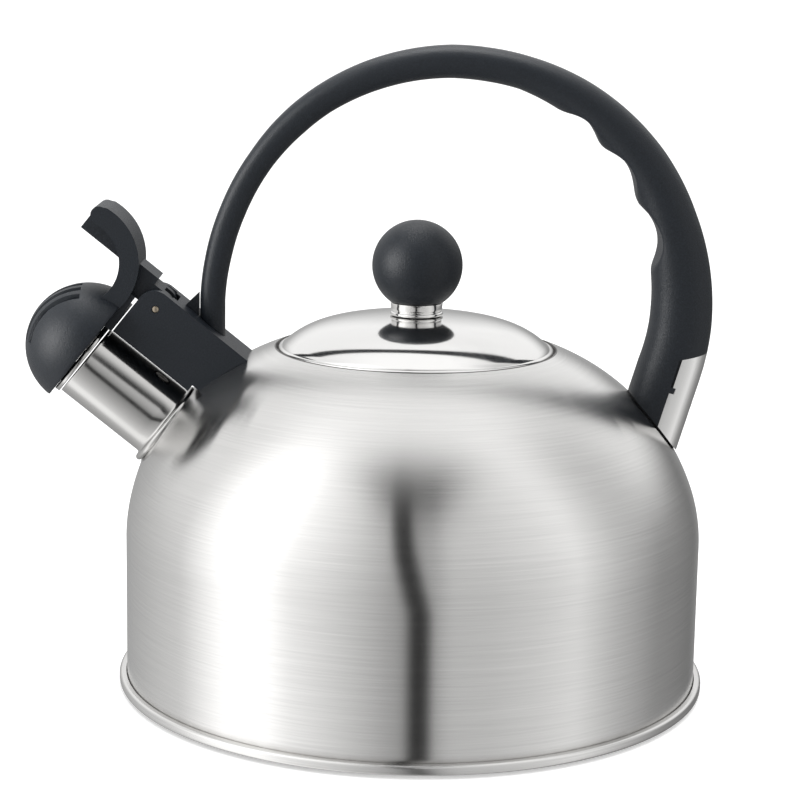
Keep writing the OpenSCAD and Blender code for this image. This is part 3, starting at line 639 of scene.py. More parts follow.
class KETTLE_OT_base(Operator):
    """Makes the base sheet with its stamped rings and its rolled hem"""

    bl_idname = "kettle.make_base"
    bl_label = "Base"

    def execute(self, context):
        d = body_shape()
        step, hem_r = d["base_step"], d["radius"] + d["hem_out"]
        top = step + d["hem_height"]
        flat = d["radius"] - 9
        outline = [(0, 0), (flat * 0.3, 0)]
        for ring in (0.3, 0.62):
            r = flat * ring
            outline += [(r + 0.6, 0.3), (r + 2.0, 0.3), (r + 2.6, 0)]
            outline += [(flat * (0.62 if ring == 0.3 else 1.0), 0)]
        outline += [(flat + 0.6, 0.15), (flat + 1.6, step - 0.15), (flat + 2.2, step)]
        outline += arc(hem_r - 0.9, step + 0.9, 0.9, -90, 0, 7) + arc(hem_r - 1.0, top - 1.0, 1.0, 0, 90, 7)
        outline += [(d["radius"] + 0.35, top), (d["radius"] + 0.12, top - 0.3),
                    (d["radius"] + 0.1, step + 0.8),
                    (flat + 1.6, step + 0.8), (flat - 0.4, 0.8), (0, 0.8)]
        base = lathe("base", outline, finish("hem_steel"), turns=256, smooth_to=38)
        settle(base, "kettle", "base_plate")
        return {"FINISHED"}


class KETTLE_OT_spout(Operator):
    """Makes the polished spout with its bead and its turned mouth"""

    bl_idname = "kettle.make_spout"
    bl_label = "Spout"

    def execute(self, context):
        s = context.scene.kettle_spout
        r, w, length, bead = s.radius / MM, s.wall / MM, s.length / MM, s.bead_radius / MM
        outline = ([(r + 1.2, -2.9), (r + 1.2, -2.4), (r + 0.2, -2.2), (r, -1.8), (r, -0.55)]
                   + arc(bead - 1.05, 0.5, 1.05, -80, 80, 12) + [(r + 0.55, 1.6), (r + 0.15, 1.9), (r, 2.5)]
                   + [(r, 2.5 + (length - 3.3) * i / 10) for i in range(1, 11)]
                   + arc(r - w / 2, length - w / 2, w / 2, 20, 160, 6)
                   + [(r - w, length - 2), (r - w, -2.9)])
        spout = lathe("spout", outline, finish("spout_steel"), turns=160, smooth_to=42)
        place(spout, spout_matrix())
        settle(spout, "kettle", "spout_tube")
        return {"FINISHED"}


class KETTLE_OT_bracket(Operator):
    """Makes the moulded bracket over the spout, and finishes the strip inside it"""

    bl_idname = "kettle.make_bracket"
    bl_label = "Bracket"

    def execute(self, context):
        edge = context.scene.kettle_spout.moulded_edge
        bracket = moulded("bracket", "spout_bracket", finish("black_plastic"), edge)
        settle(bracket, "kettle", "spout_bracket")
        dress("bracket_tab", "plain_steel")
        return {"FINISHED"}


def dress(node, name):
    """Gives a CAD node that keeps its own shape a finished material."""
    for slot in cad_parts[node].material_slots:
        slot.material = finish(name)


# ---- the handle ----


CRESTS = [(75, 10.9), (63, 12.5), (49, 14.3), (31.3, 16.1), (11.6, 19.0)]
BACK = [(-4, 0.0), (8, 0.3), (22, 0.55), (38, 0.15), (60, 0.1), (74, 0.3), (84, 0.2), (92, -0.1), (112, -0.1),
        (124, 0.0), (130, 0.1), (136, 0.35), (144, 0.8), (158, 0.95), (170, 0.7), (180, 0.3)]
HOLLOW_LEAN = (1.0, 1.0, 0.8)
HOLLOW_SHARE = (0.85, 1.0, 1.35)


def handle_shape():
    """Centre and radius of the handle's arch, and where its legs stand."""
    h = bpy.context.scene.kettle_handle
    grip, rod = h.grip / MM, h.rod / MM
    foot = dome_point(FOOT_AT)
    lean = math.radians(LEG_LEAN)
    socket = spout_matrix() @ Vector((BRACKET_TOP, 0, SOCKET_OUT))
    r = (foot[0] + grip / 2 * math.cos(lean) + LEG_STRAIGHT * math.sin(lean) - (socket.x - rod / 2)) \
        / (1 + math.cos(lean))
    cx = socket.x - rod / 2 + r
    cz = foot[1] - (grip / 2 - r) * math.sin(lean) + LEG_STRAIGHT * math.cos(lean)
    return {"grip": grip, "rod": rod, "width": h.grip_width / MM, "foot": foot, "r": r, "x": cx, "z": cz,
            "socket": socket}


BRACKET_TOP = 35.55    # height of the bracket's top square to the spout's axis
SOCKET_OUT = 9.25      # where the handle's front end enters the bracket, along the spout


def thickness(a, h):
    """Thickness of the handle at an angle round the arch, before the finger hollows."""
    rows = [(-LEG_LEAN, h["grip"]), (0, h["grip"] - 1.0)] + CRESTS[::-1] + [
        (90, 10.7), (110, 10.1), (124, 9.5), (132, 9.4), (144, h["rod"] + 0.4), (168, h["rod"] + 0.3), (180, h["rod"])]
    return table(a, rows)


def hollow(a):
    """Depth of the finger hollow at an angle round the arch."""
    depth = bpy.context.scene.kettle_handle.finger_depth / MM
    for i in (1, 2, 3):
        high, low = CRESTS[i][0], CRESTS[i + 1][0]
        if low < a < high:
            way = ((a - low) / (high - low)) ** HOLLOW_LEAN[i - 1]
            return depth * HOLLOW_SHARE[i - 1] * math.sin(math.pi * way)
    return 0.0


def width(a, h):
    """Width of the handle at an angle round the arch."""
    w = h["width"]
    return table(a, [(-LEG_LEAN, w), (20, w - 0.5), (50, w - 3), (80, 15), (110, 11.5), (150, 9),
                     (180, h["rod"])])


POWER = 2.4


def handle_ring(h, ox, oz, a, q_list, inset=0.0, scoop=True):
    """One ring of the handle about the arch's centre, or a stretch of it, inset all round."""
    at = max(-LEG_LEAN, a)
    t, w = thickness(at, h), width(at, h)
    back = h["r"] - table(at, BACK)
    deep = sum(hollow(at + k) for k in (-1.2, 0, 1.2)) / 3 if scoop else 0.0
    ring = []
    for q in q_list:
        c, s = math.cos(math.radians(q)), math.sin(math.radians(q))
        u = math.copysign(abs(c) ** (2 / POWER), c)
        v = math.copysign(abs(s) ** (2 / POWER), s)
        r = back - t / 2 + (t / 2 - inset) * u
        floor = back - t + deep
        if deep > 0:
            r = max(r, floor + 0.35 * (r - floor) if r < floor else r)
            r = max(r, floor - 0.3)
        ring.append((ox + r * math.cos(math.radians(a)), (w / 2 - inset) * v,
                     oz + r * math.sin(math.radians(a))))
    return ring


def leg_point(h, s):
    """Centre that the rings turn about, a way down the straight part of the rear leg."""
    lean = math.radians(LEG_LEAN)
    return h["x"] - s * math.sin(lean), h["z"] - s * math.cos(lean)


def turned(base, at, degrees, axis):
    """A frame at a place in another one, turned about one of its axes."""
    return base @ Matrix.Translation(at) @ Matrix.Rotation(math.radians(degrees), 4, axis)


def leg_matrix(h):
    """The rear leg's frame: x points out of its back and z up it."""
    return Matrix.Translation((h["foot"][0], 0,
                               h["foot"][1])) @ Matrix.Rotation(math.radians(LEG_LEAN), 4, "Y")


def box_at(name, low, high, matrix):
    """A closed box between two corners in a frame, for cutting."""
    corners = [(x, y, z) for x in (low[0], high[0]) for y in (low[1], high[1]) for z in (low[2], high[2])]
    faces = [(0, 1, 3, 2), (4, 6, 7, 5), (0, 4, 5, 1), (2, 3, 7, 6), (0, 2, 6, 4), (1, 5, 7, 3)]
    return place(new_piece(name, corners, faces, finish("plain_steel")), matrix)


def prism(name, outline, half, matrix):
    """A closed prism on an outline in the xz plane of a frame."""
    n = len(outline)
    verts = [(x, -half, z) for x, z in outline] + [(x, half, z) for x, z in outline]
    faces = [list(range(n)), [2 * n - 1 - i for i in range(n)]]
    faces += [[i, (i + 1) % n, n + (i + 1) % n, n + i] for i in range(n)]
    return place(new_piece(name, verts, faces, finish("plain_steel")), matrix)


def grown_dome(out):
    """The inside of the dome grown a little, for cutting what stands on it."""
    d = body_shape()
    rim = arc(d["dome_x"], d["dome_z"], d["dome_radius"] + out, 12, 88, 90)
    return lathe("dome_cut", [(0, 40), (rim[0][0], 40)] + rim + [(0, rim[-1][1])], finish("plain_steel"), 256)


WRAP = 87.5            # degrees that the trim reaches round each side of the leg
TRIM_TOP = 22.6        # height of the trim's top up the leg, at its front edge
TRIM_SLOPE = 0.488
NOTCH = 11.0
GROOVE = 1.1           # open strip of the leg in front of the trim, above its notch
TRIM_FRONT = 1.5       # front edge of the trim above its notch, from the leg's middle


def band(name, h, out, deep, wrap, mat):
    """The band of the rear leg between a height out of its surface and a depth in it."""
    n = 28
    there = [-wrap + 2 * wrap * i / n for i in range(n + 1)]
    rings = []
    spots = [(h["x"], h["z"], a) for a in (8, 5, 2, -1, -4, -7, -10, -13)]
    spots += [leg_point(h, s) + (-LEG_LEAN,) for s in (0, 6, 12, 18, 24, LEG_STRAIGHT + 16)]
    for ox, oz, a in spots:
        rings.append(handle_ring(h, ox, oz, a, there, -out, False)
                     + handle_ring(h, ox, oz, a, there[::-1], deep, False))
    return tube(name, rings, mat, 50)


def above_trim(h, gap, groove=0.0):
    """What the trim leaves free: above its slanted top, and in front of its edge above the notch."""
    edge = TRIM_FRONT - gap - groove
    ends = [(x, TRIM_TOP + TRIM_SLOPE * (x - TRIM_FRONT) + gap) for x in (-20, 20)]
    top = prism("top_cut", ends + [(20, 80), (-20, 80)], 30, leg_matrix(h))
    front = prism("front_cut", [(-20, NOTCH + gap), (edge, NOTCH + gap), (edge, 80), (-20, 80)],
                  30, leg_matrix(h))
    notch = box_at("notch_cut", (-6, -30, NOTCH + gap),
                   (TRIM_FRONT + 1.0 - gap, 30, NOTCH + 2 - gap), leg_matrix(h))
    return top, front, notch


class KETTLE_OT_handle(Operator):
    """Makes the arched handle with its finger hollows, the steel trim on its rear leg and the pad under it"""

    bl_idname = "kettle.make_handle"
    bl_label = "Handle"

    def execute(self, context):
        h = handle_shape()
        sheet = context.scene.kettle_handle.trim_sheet / MM
        around = [360 * i / 64 for i in range(64)]
        angles = [180 - 1.0 * i for i in range(int(180 + LEG_LEAN))]
        rings = [handle_ring(h, h["x"], h["z"] - s, 180, around) for s in (14, 9, 4)]
        rings += [handle_ring(h, h["x"], h["z"], a, around) for a in angles]
        down_leg = (0, 5, 10, 15, 20, LEG_STRAIGHT + 12)
        rings += [handle_ring(h, *leg_point(h, s), -LEG_LEAN, around) for s in down_leg]
        grip = tube("grip", rings, finish("black_plastic"), 30)
        recess = band("recess", h, 2.0, sheet + FIT, WRAP + 0.5, finish("black_plastic"))
        cut(recess, *above_trim(h, FIT, GROOVE))
        under = box_at("under", (BRACKET_TOP + FIT - 200, -60, -60),
                       (BRACKET_TOP + FIT, 60, 60), spout_matrix())
        cut(grip, recess, grown_dome(PAD), under)
        soften(grip, 0.25, 48)
        settle(grip, "kettle", "handle_grip")
        trim = band("trim", h, 0.0, sheet, WRAP, finish("trim_steel"))
        cut(trim, *above_trim(h, 0), grown_dome(PAD), head_cone(h))
        soften(trim, 0.18, 48)
        settle(trim, "kettle", "rear_trim")
        pad = moulded("pad", "rear_pad", finish("black_rubber"), 0.0002)
        settle(pad, "kettle", "rear_pad")
        dress("rear_tab", "plain_steel")
        return {"FINISHED"}


def soften(piece, edge, from_angle):
    """Rounds the sharp edges of a piece and smooths the rest."""
    step = piece.modifiers.new("edges", "BEVEL")
    step.width = edge * MM
    step.segments = 2
    step.limit_method = "ANGLE"
    step.angle_limit = math.radians(from_angle)
    step.use_clamp_overlap = True
    bake(piece)
    piece.data.shade_smooth()
    piece.data.set_sharp_from_angle(angle=math.radians(35))


def head_cone(h):
    """The countersink of the rear screw."""
    cone = lathe("sink", [(0, -8), (2.05, -8), (2.05, -2.2 - HEAD_SUNK), (4.75 + HEAD_SUNK, 0.5), (0, 0.5)],
                 finish("plain_steel"), 48)
    turn = turned(leg_matrix(h), (h["grip"] / 2, 0, REAR_SCREW), 90, "Y")
    return place(cone, turn)


REAR_SCREW = 8.0
HEAD_SUNK = 0.4        # of the rear screw's head below the back of the leg


# ---- whistle and lever ----


CAP_LOW = 36.3         # along the spout from its seat
CAP_SHIFT = 4.5        # from the spout's axis towards the hinge
PIN = (29.75, 26.9)    # the hinge pin in the spout's frame


def slotted_tree():
    """Geometry nodes that cut a row of like slots out of a shell."""
    tree = bpy.data.node_groups.new("steam_slots", "GeometryNodeTree")
    face = tree.interface
    face.new_socket("Geometry", in_out="OUTPUT", socket_type="NodeSocketGeometry")
    for name, kind in (("Shell", "NodeSocketGeometry"), ("Cutter", "NodeSocketObject"),
                       ("Slots", "NodeSocketInt"),
                       ("Pitch", "NodeSocketFloat"), ("Material", "NodeSocketMaterial")):
        face.new_socket(name, in_out="INPUT", socket_type=kind)
    t = Tree(tree)
    given = t.node("NodeGroupInput").outputs
    first = t.math("MULTIPLY", t.math("MULTIPLY", t.math("SUBTRACT", given["Slots"], 1.0),
                                      given["Pitch"]), -0.5)
    start = t.node("ShaderNodeCombineXYZ", {1: first}).outputs[0]
    step = t.node("ShaderNodeCombineXYZ", {1: given["Pitch"]}).outputs[0]
    row = t.node("GeometryNodeMeshLine", {"Count": given["Slots"], "Start Location": start, "Offset": step})
    shape = t.node("GeometryNodeObjectInfo", {"Object": given["Cutter"]}).outputs["Geometry"]
    many = t.node("GeometryNodeInstanceOnPoints", {"Points": row.outputs[0], "Instance": shape}).outputs[0]
    real = t.node("GeometryNodeRealizeInstances", {"Geometry": many}).outputs[0]
    cutting = t.node("GeometryNodeMeshBoolean", operation="DIFFERENCE", solver="EXACT")
    tree.links.new(given["Shell"], cutting.inputs[0])
    tree.links.new(real, cutting.inputs[1])
    whole = t.node("GeometryNodeRealizeInstances", {"Geometry": cutting.outputs[0]}).outputs[0]
    done = t.node("GeometryNodeSetMaterial", {"Geometry": whole, "Material": given["Material"]}).outputs[0]
    tree.links.new(done, t.node("NodeGroupOutput").inputs[0])
    return tree


def grow(name, tree, values, mesh=None):
    """Runs a geometry node tree on an object and bakes it, with inputs set by their identifiers."""
    piece = bpy.data.objects.new(name, mesh or bpy.data.meshes.new(name))
    bpy.context.scene.collection.objects.link(piece)
    step = piece.modifiers.new("make", "NODES")
    step.node_group = tree
    for item in tree.interface.items_tree:
        if item.in_out == "INPUT" and item.name in values:
            step[item.identifier] = values[item.name]
    return bake(piece)


class KETTLE_OT_whistle(Operator):
    """Makes the slotted whistle cap and the steel rim and plates in it"""

    bl_idname = "kettle.make_whistle"
    bl_label = "Whistle"

    def execute(self, context):
        s = context.scene.kettle_spout
        r, w = s.cap_radius / MM, s.cap_wall / MM
        black, steel = finish("black_plastic"), finish("polished_steel")
        shell = lathe("cap_shell", arc(0, 0, r, 1.2, 90, 48)[:-1] + [(0, r), (0, r - w)]
                      + arc(0, 0, r - w, 90, 0, 30)[1:] + [(r - 0.35, 0), (r - 0.1, 0.12)], black, 160, 50)
        half = s.slot_width / MM / 2
        wedge = [(0, 0)] + arc(0, 0, r * 1.3, *SLOT_SWEEP, 16)
        cutter = prism("slot_cutter", wedge, half, Matrix.Identity(4))
        cap = grow("cap", slotted_tree(), {"Cutter": cutter, "Slots": s.slot_count, "Pitch": s.slot_pitch,
                                           "Material": black}, shell.data)
        bpy.data.objects.remove(cutter)
        place(cap, spout_matrix() @ Matrix.Translation((CAP_SHIFT, 0, CAP_LOW)))
        soften(cap, 0.15, 60)
        settle(cap, "whistle", "whistle_cap")
        tube_r = s.radius / MM + 0.3
        neck = lathe("cap_neck", [(tube_r - 1.6, CAP_LOW), (tube_r, CAP_LOW), (tube_r, CAP_LOW + r),
                                  (tube_r - 1.6, CAP_LOW + r)], black, 96)
        ball = [(0, w / 2 - r)] + arc(0, 0, r - w / 2, -90, 90, 48)[1:-1] + [(0, r - w / 2)]
        inside = place(lathe("cap_inside", ball, black, 96), Matrix.Translation((CAP_SHIFT, 0, CAP_LOW)))
        cut(neck, inside, operation="INTERSECT")
        neck.data.set_sharp_from_angle(angle=math.radians(40))
        place(neck, spout_matrix())
        settle(neck, "whistle")
        low, rim = s.length / MM + 0.3, s.radius / MM + 0.7
        plate = rim - 1.2
        ring = lathe("whistle_ring", [(plate - 0.8, low), (rim - 0.35, low), (rim - 0.1, low + 0.1),
                                      (rim, low + 0.35),
                                      (rim, low + 1.5), (rim - 0.15, low + 1.7), (plate + FIT, low + 1.7),
                                      (plate + FIT, low + 0.5), (plate - 0.8, low + 0.5)],
                     finish("spout_steel"), 128, 60)
        hole = 1.8
        flat = low + 0.55
        lower = lathe("plate_lower", [(hole, flat), (plate, flat), (plate, flat + 0.5),
                                      (hole, flat + 0.5)], steel, 96)
        cup, up = tube_r - 3, flat + 0.55
        upper = lathe("plate_upper",
                      [(cup - 0.5, up), (plate, up), (plate, up + 0.5), (cup + 0.4, up + 0.5), (cup, up + 0.9),
                       (cup, up + 2.6), (cup - 0.6, up + 3.2), (hole, up + 3.2), (hole, up + 2.7),
                       (cup - 0.9, up + 2.7), (cup - 0.5, up + 2.3)], steel, 96, 50)
        for piece, node in ((ring, "whistle_rim"), (lower, "whistle_plate_lower"),
                            (upper, "whistle_plate_upper")):
            place(piece, spout_matrix())
            settle(piece, "whistle", node)
        return {"FINISHED"}


class KETTLE_OT_lever(Operator):
    """Makes the thumb lever and the pin that it turns on"""

    bl_idname = "kettle.make_lever"
    bl_label = "Lever"

    def execute(self, context):
        edge = context.scene.kettle_spout.moulded_edge
        lever = moulded("lever", "thumb_lever", finish("black_plastic"), edge * 1.6)
        settle(lever, "whistle", "thumb_lever")
        pin = lathe("pin", [(0, -9.8), (0.95, -9.8), (1.2, -9.6), (1.25, -9.3), (1.25, 9.3),
                            (1.2, 9.6), (0.95, 9.8),
                            (0, 9.8)], finish("brass"), 40, 60)
        place(pin, turned(spout_matrix(), (PIN[0], 0, PIN[1]), 90, "X"))
        settle(pin, "kettle", "hinge_pin")
        return {"FINISHED"}


def spring_tree():
    """Geometry nodes that sweep a round wire along a coil."""
    tree = bpy.data.node_groups.new("coil_spring", "GeometryNodeTree")
    face = tree.interface
    face.new_socket("Geometry", in_out="OUTPUT", socket_type="NodeSocketGeometry")
    for name, kind in (("Turns", "NodeSocketFloat"), ("Coil radius", "NodeSocketFloat"),
                       ("Length", "NodeSocketFloat"),
                       ("Wire radius", "NodeSocketFloat"), ("Material", "NodeSocketMaterial")):
        face.new_socket(name, in_out="INPUT", socket_type=kind)
    t = Tree(tree)
    given = t.node("NodeGroupInput").outputs
    coil = t.node("GeometryNodeCurveSpiral", {"Resolution": 28, "Rotations": given["Turns"],
                                              "Start Radius": given["Coil radius"],
                                              "End Radius": given["Coil radius"],
                                              "Height": given["Length"]}).outputs[0]
    ring = t.node("GeometryNodeCurvePrimitiveCircle",
                  {"Resolution": 10, "Radius": given["Wire radius"]}).outputs[0]
    wire = t.node("GeometryNodeCurveToMesh", {"Curve": coil, "Profile Curve": ring,
                                              "Fill Caps": True}).outputs[0]
    smooth = t.node("GeometryNodeSetShadeSmooth", {"Geometry": wire}).outputs[0]
    whole = t.node("GeometryNodeRealizeInstances", {"Geometry": smooth}).outputs[0]
    done = t.node("GeometryNodeSetMaterial", {"Geometry": whole, "Material": given["Material"]}).outputs[0]
    tree.links.new(done, t.node("NodeGroupOutput").inputs[0])
    return tree


class KETTLE_OT_spring(Operator):
    """Makes the coil spring that closes the whistle"""

    bl_idname = "kettle.make_spring"
    bl_label = "Spring"

    def execute(self, context):
        spring = grow("spring", spring_tree(), {"Turns": 4.0, "Coil radius": 0.0033, "Length": 0.004,
                                                "Wire radius": 0.00045, "Material": finish("plain_steel")})
        place(spring, turned(spout_matrix(), (PIN[0], 2.0, PIN[1]), 90, "X"))
        settle(spring, "kettle", "lever_spring")
        return {"FINISHED"}


# ---- lid ----


def lid_height(r, levels, lid):
    """Height of the lid's outside at a distance from the axis."""
    edge = (lid.radius - lid.bead) / MM
    q = min(r, edge) / edge
    return levels["edge"] + lid.rise / MM * (1 - lid.roundness * q * q - (1 - lid.roundness) * q ** lid.fullness)


class KETTLE_OT_lid(Operator):
    """Makes the polished lid with its rolled edge, and the ring that plugs the opening"""

    bl_idname = "kettle.make_lid"
    bl_label = "Lid"

    def execute(self, context):
        lid, levels = context.scene.kettle_lid, lid_levels()
        edge, bead, sheet = (lid.radius - lid.bead) / MM, lid.bead / MM, lid.sheet / MM
        radii = [2.2, 4, 6, 8, 9, 9.5, 10, 10.5, 11, 11.5, 12.2, 13]
        radii += [13 + (edge - 13.6) * i / 32 for i in range(1, 33)]
        top = [(r, lid_height(r, levels, lid)) for r in radii]
        under = [(r * (edge - sheet) / edge, lid_height(r, levels, lid) - sheet) for r in radii[::-1]]
        outline = top + arc(edge, levels["low"] + bead, bead, 115, -200, 22) + under
        cover = lathe("lid", outline, finish("polished_steel"), turns=224, smooth_to=50)
        settle(cover, "lid", "lid_cover")
        d = body_shape()
        plug = d["opening_radius"] - 0.5
        low = levels["seat"] - PLUG_DEPTH
        high = levels["edge"] - 0.4
        ring = lathe("lid_ring", [(plug - 0.6, low + 0.2), (plug - 0.3, low), (plug, low + 0.3),
                                  (plug, high - 1.1),
                                  (plug + 0.5, high - 0.6), (edge - bead - 0.3, high - 0.6),
                                  (edge - bead - 0.3, high), (plug - 0.4, high), (plug - 0.6, high - 0.3)],
                     finish("satin_steel"), 192, 50)
        settle(ring, "lid", "lid_plug")
        return {"FINISHED"}


class KETTLE_OT_knob(Operator):
    """Makes the ball knob, its polished collar and the washer under the lid"""

    bl_idname = "kettle.make_knob"
    bl_label = "Knob"

    def execute(self, context):
        lid, levels = context.scene.kettle_lid, lid_levels()
        r, c = lid.knob_radius / MM, lid.collar_radius / MM
        low, collar = levels["collar"] + FIT, levels["collar"]
        start = math.degrees(math.asin((low - levels["knob"]) / r))
        ball = arc(0, levels["knob"], r, start + 2.4, 90, 60)
        foot = ball[0][0]
        outline = [(0, low), (foot - 1.3, low),
                   (foot - 0.45, low + 0.08)] + ball[:-1] + [(0, levels["knob"] + r)]
        knob = lathe("knob", outline, finish("black_plastic"), 160, 60)
        settle(knob, "lid", "lid_knob")
        bottom = levels["top"] + FIT
        ring = [(0, bottom), (c - 1.0, bottom), (c - 0.2, bottom + 0.1), (c, bottom + 0.35), (c, bottom + 0.9),
                (c - 0.15, bottom + 1.1), (c - 0.5, bottom + 1.25), (c - 0.55, bottom + 1.4),
                (c - 0.35, bottom + 1.7),
                (c - 0.3, bottom + 2.4), (c - 0.2, collar - 0.7), (c - 0.05, collar - 0.25),
                (c - 0.25, collar),
                (0, collar)]
        band_ring = lathe("collar", ring, finish("polished_steel"), 128, 42)
        settle(band_ring, "lid", "knob_collar")
        dress("knob_insert", "brass")
        dress("knob_washer", "plain_steel")
        return {"FINISHED"}


# ---- screws ----


def screw_tree():
    """Geometry nodes that make a pan-head screw with a cross recess, standing on its head."""
    tree = bpy.data.node_groups.new("pan_screw", "GeometryNodeTree")
    face = tree.interface
    face.new_socket("Geometry", in_out="OUTPUT", socket_type="NodeSocketGeometry")
    for name, kind in (("Shank radius", "NodeSocketFloat"), ("Shank length", "NodeSocketFloat"),
                       ("Head radius", "NodeSocketFloat"), ("Head height", "NodeSocketFloat"),
                       ("Taper", "NodeSocketFloat"), ("Material", "NodeSocketMaterial")):
        face.new_socket(name, in_out="INPUT", socket_type=kind)
    t = Tree(tree)
    given = t.node("NodeGroupInput").outputs
    down = t.math("MULTIPLY", given["Head height"], -1.0)
    shank = t.node("GeometryNodeMeshCone", {"Vertices": 32, "Radius Top": given["Shank radius"],
                                            "Radius Bottom": given["Shank radius"],
                                            "Depth": given["Shank length"]}).outputs[0]
    wide = t.math("MULTIPLY", given["Head radius"], given["Taper"])
    head = t.node("GeometryNodeMeshCone", {"Vertices": 48, "Radius Top": given["Head radius"],
                                           "Radius Bottom": wide,
                                           "Depth": given["Head height"]}).outputs[0]
    head = t.node("GeometryNodeTransform", {"Geometry": head, "Translation":
                  t.node("ShaderNodeCombineXYZ", {2: down}).outputs[0]}).outputs[0]
    both = t.node("GeometryNodeMeshBoolean", operation="UNION", solver="EXACT")
    tree.links.new(shank, both.inputs[1])
    tree.links.new(head, both.inputs[1])
    reach = t.math("MULTIPLY", given["Head radius"], 1.1)
    thin = t.math("MULTIPLY", given["Head radius"], 0.26)
    bars = []
    for size_xyz in ({0: reach, 1: thin, 2: given["Head height"]},
                     {0: thin, 1: reach, 2: given["Head height"]}):
        bar = t.node("GeometryNodeMeshCube", {"Size": t.node("ShaderNodeCombineXYZ",
                                                             size_xyz).outputs[0]}).outputs[0]
        bars.append(t.node("GeometryNodeTransform", {"Geometry": bar, "Translation":
                    t.node("ShaderNodeCombineXYZ", {2: down}).outputs[0]}).outputs[0])
    cutting = t.node("GeometryNodeMeshBoolean", operation="DIFFERENCE", solver="EXACT")
    tree.links.new(both.outputs[0], cutting.inputs[0])
    for bar in bars:
        tree.links.new(bar, cutting.inputs[1])
    whole = t.node("GeometryNodeRealizeInstances", {"Geometry": cutting.outputs[0]}).outputs[0]
    done = t.node("GeometryNodeSetMaterial", {"Geometry": whole, "Material": given["Material"]}).outputs[0]
    tree.links.new(done, t.node("NodeGroupOutput").inputs[0])
    return tree


class KETTLE_OT_screws(Operator):
    """Makes the screws that hold the bracket, the handle, the cap and the knob"""

    bl_idname = "kettle.make_screws"
    bl_label = "Screws"

    def execute(self, context):
        tree, spout, levels, h = screw_tree(), spout_matrix(), lid_levels(), handle_shape()
        quarter = Matrix.Rotation(math.pi / 2, 4, "Y")
        under = levels["top"] - 0.6 - 0.6 - 2 * FIT
        socket = Matrix.Translation((h["socket"].x, 0, h["socket"].z - 13))
        kinds = [
            ("bracket_screw", "kettle", spout @ Matrix.Translation((17.55, 0, 11)) @ quarter,
             1.5, 9, 3.0, 1.8),
            ("handle_front_screw", "kettle", socket, 1.45, 15, 2.8, 1.8),
            ("cap_screw", "whistle", spout @ Matrix.Translation((CAP_SCREW, 0, CAP_LOW - 1.9)),
             1.25, 8, 2.4, 0.8),
            ("knob_screw", "lid", Matrix.Translation((0, 0, under)), 2.0,
             levels["collar"] + 8 - under, 3.6, 2.2),
        ]
        for node, body, at, shank, length, head, deep in kinds:
            screw = grow("made_" + node, tree, {"Shank radius": shank * MM, "Shank length": length * MM,
                                                "Head radius": head * MM,
                                                "Head height": deep * MM, "Taper": 0.82,
                                                "Material": finish("plain_steel")})
            place(screw, at)
            soften(screw, 0.12, 50)
            settle(screw, body, node)
        out = turned(leg_matrix(h), (h["grip"] / 2, 0, REAR_SCREW), -90, "Y")
        rear = grow("made_rear_screw", tree, {"Shank radius": 2.0 * MM, "Shank length": 13.0 * MM,
                                              "Head radius": 2.0 * MM, "Head height": 2.2 * MM, "Taper": 2.1,
                                              "Material": finish("polished_steel")})
        place(rear, out @ Matrix.Translation((0, 0, 2.2 + HEAD_SUNK)))
        soften(rear, 0.1, 50)
        settle(rear, "kettle", "rear_screw")
        return {"FINISHED"}


CAP_SCREW = 18.725
SLOT_SWEEP = (43, 121)  # degrees from the hinge side, round the cap


# ---- stage ----


class KettleStageSettings(PropertyGroup):
    """The camera and the studio's light"""

    lens: FloatProperty(name="Lens", description="Focal length", default=100.86, unit="CAMERA")
    distance: size("Distance", "Camera's distance in front of the kettle", 0.7257)
    height: size("Height", "Camera's height above the floor", 0.2428)
    pitch: angle("Pitch", "How far the camera looks down", 11.52)
    pan: angle("Pan", "How far the camera looks to the right", -0.389)
    roll: angle("Roll", "How far the camera leans", 0.986)
    sky: FloatProperty(name="Room light", description="Strength of the room's light", default=1.0, min=0.0)
    key: FloatProperty(name="Room lamp", description="Power of the lamp above the floor", default=9.0, min=0.0,
                       unit="POWER")
    left: FloatProperty(name="Left soft box", description="Power of the soft box that edges the moulded parts",
                        default=15.0, min=0.0, unit="POWER")
    top: FloatProperty(name="Top soft box", description="Power of the soft box above the moulded parts",
                       default=8.0, min=0.0, unit="POWER")


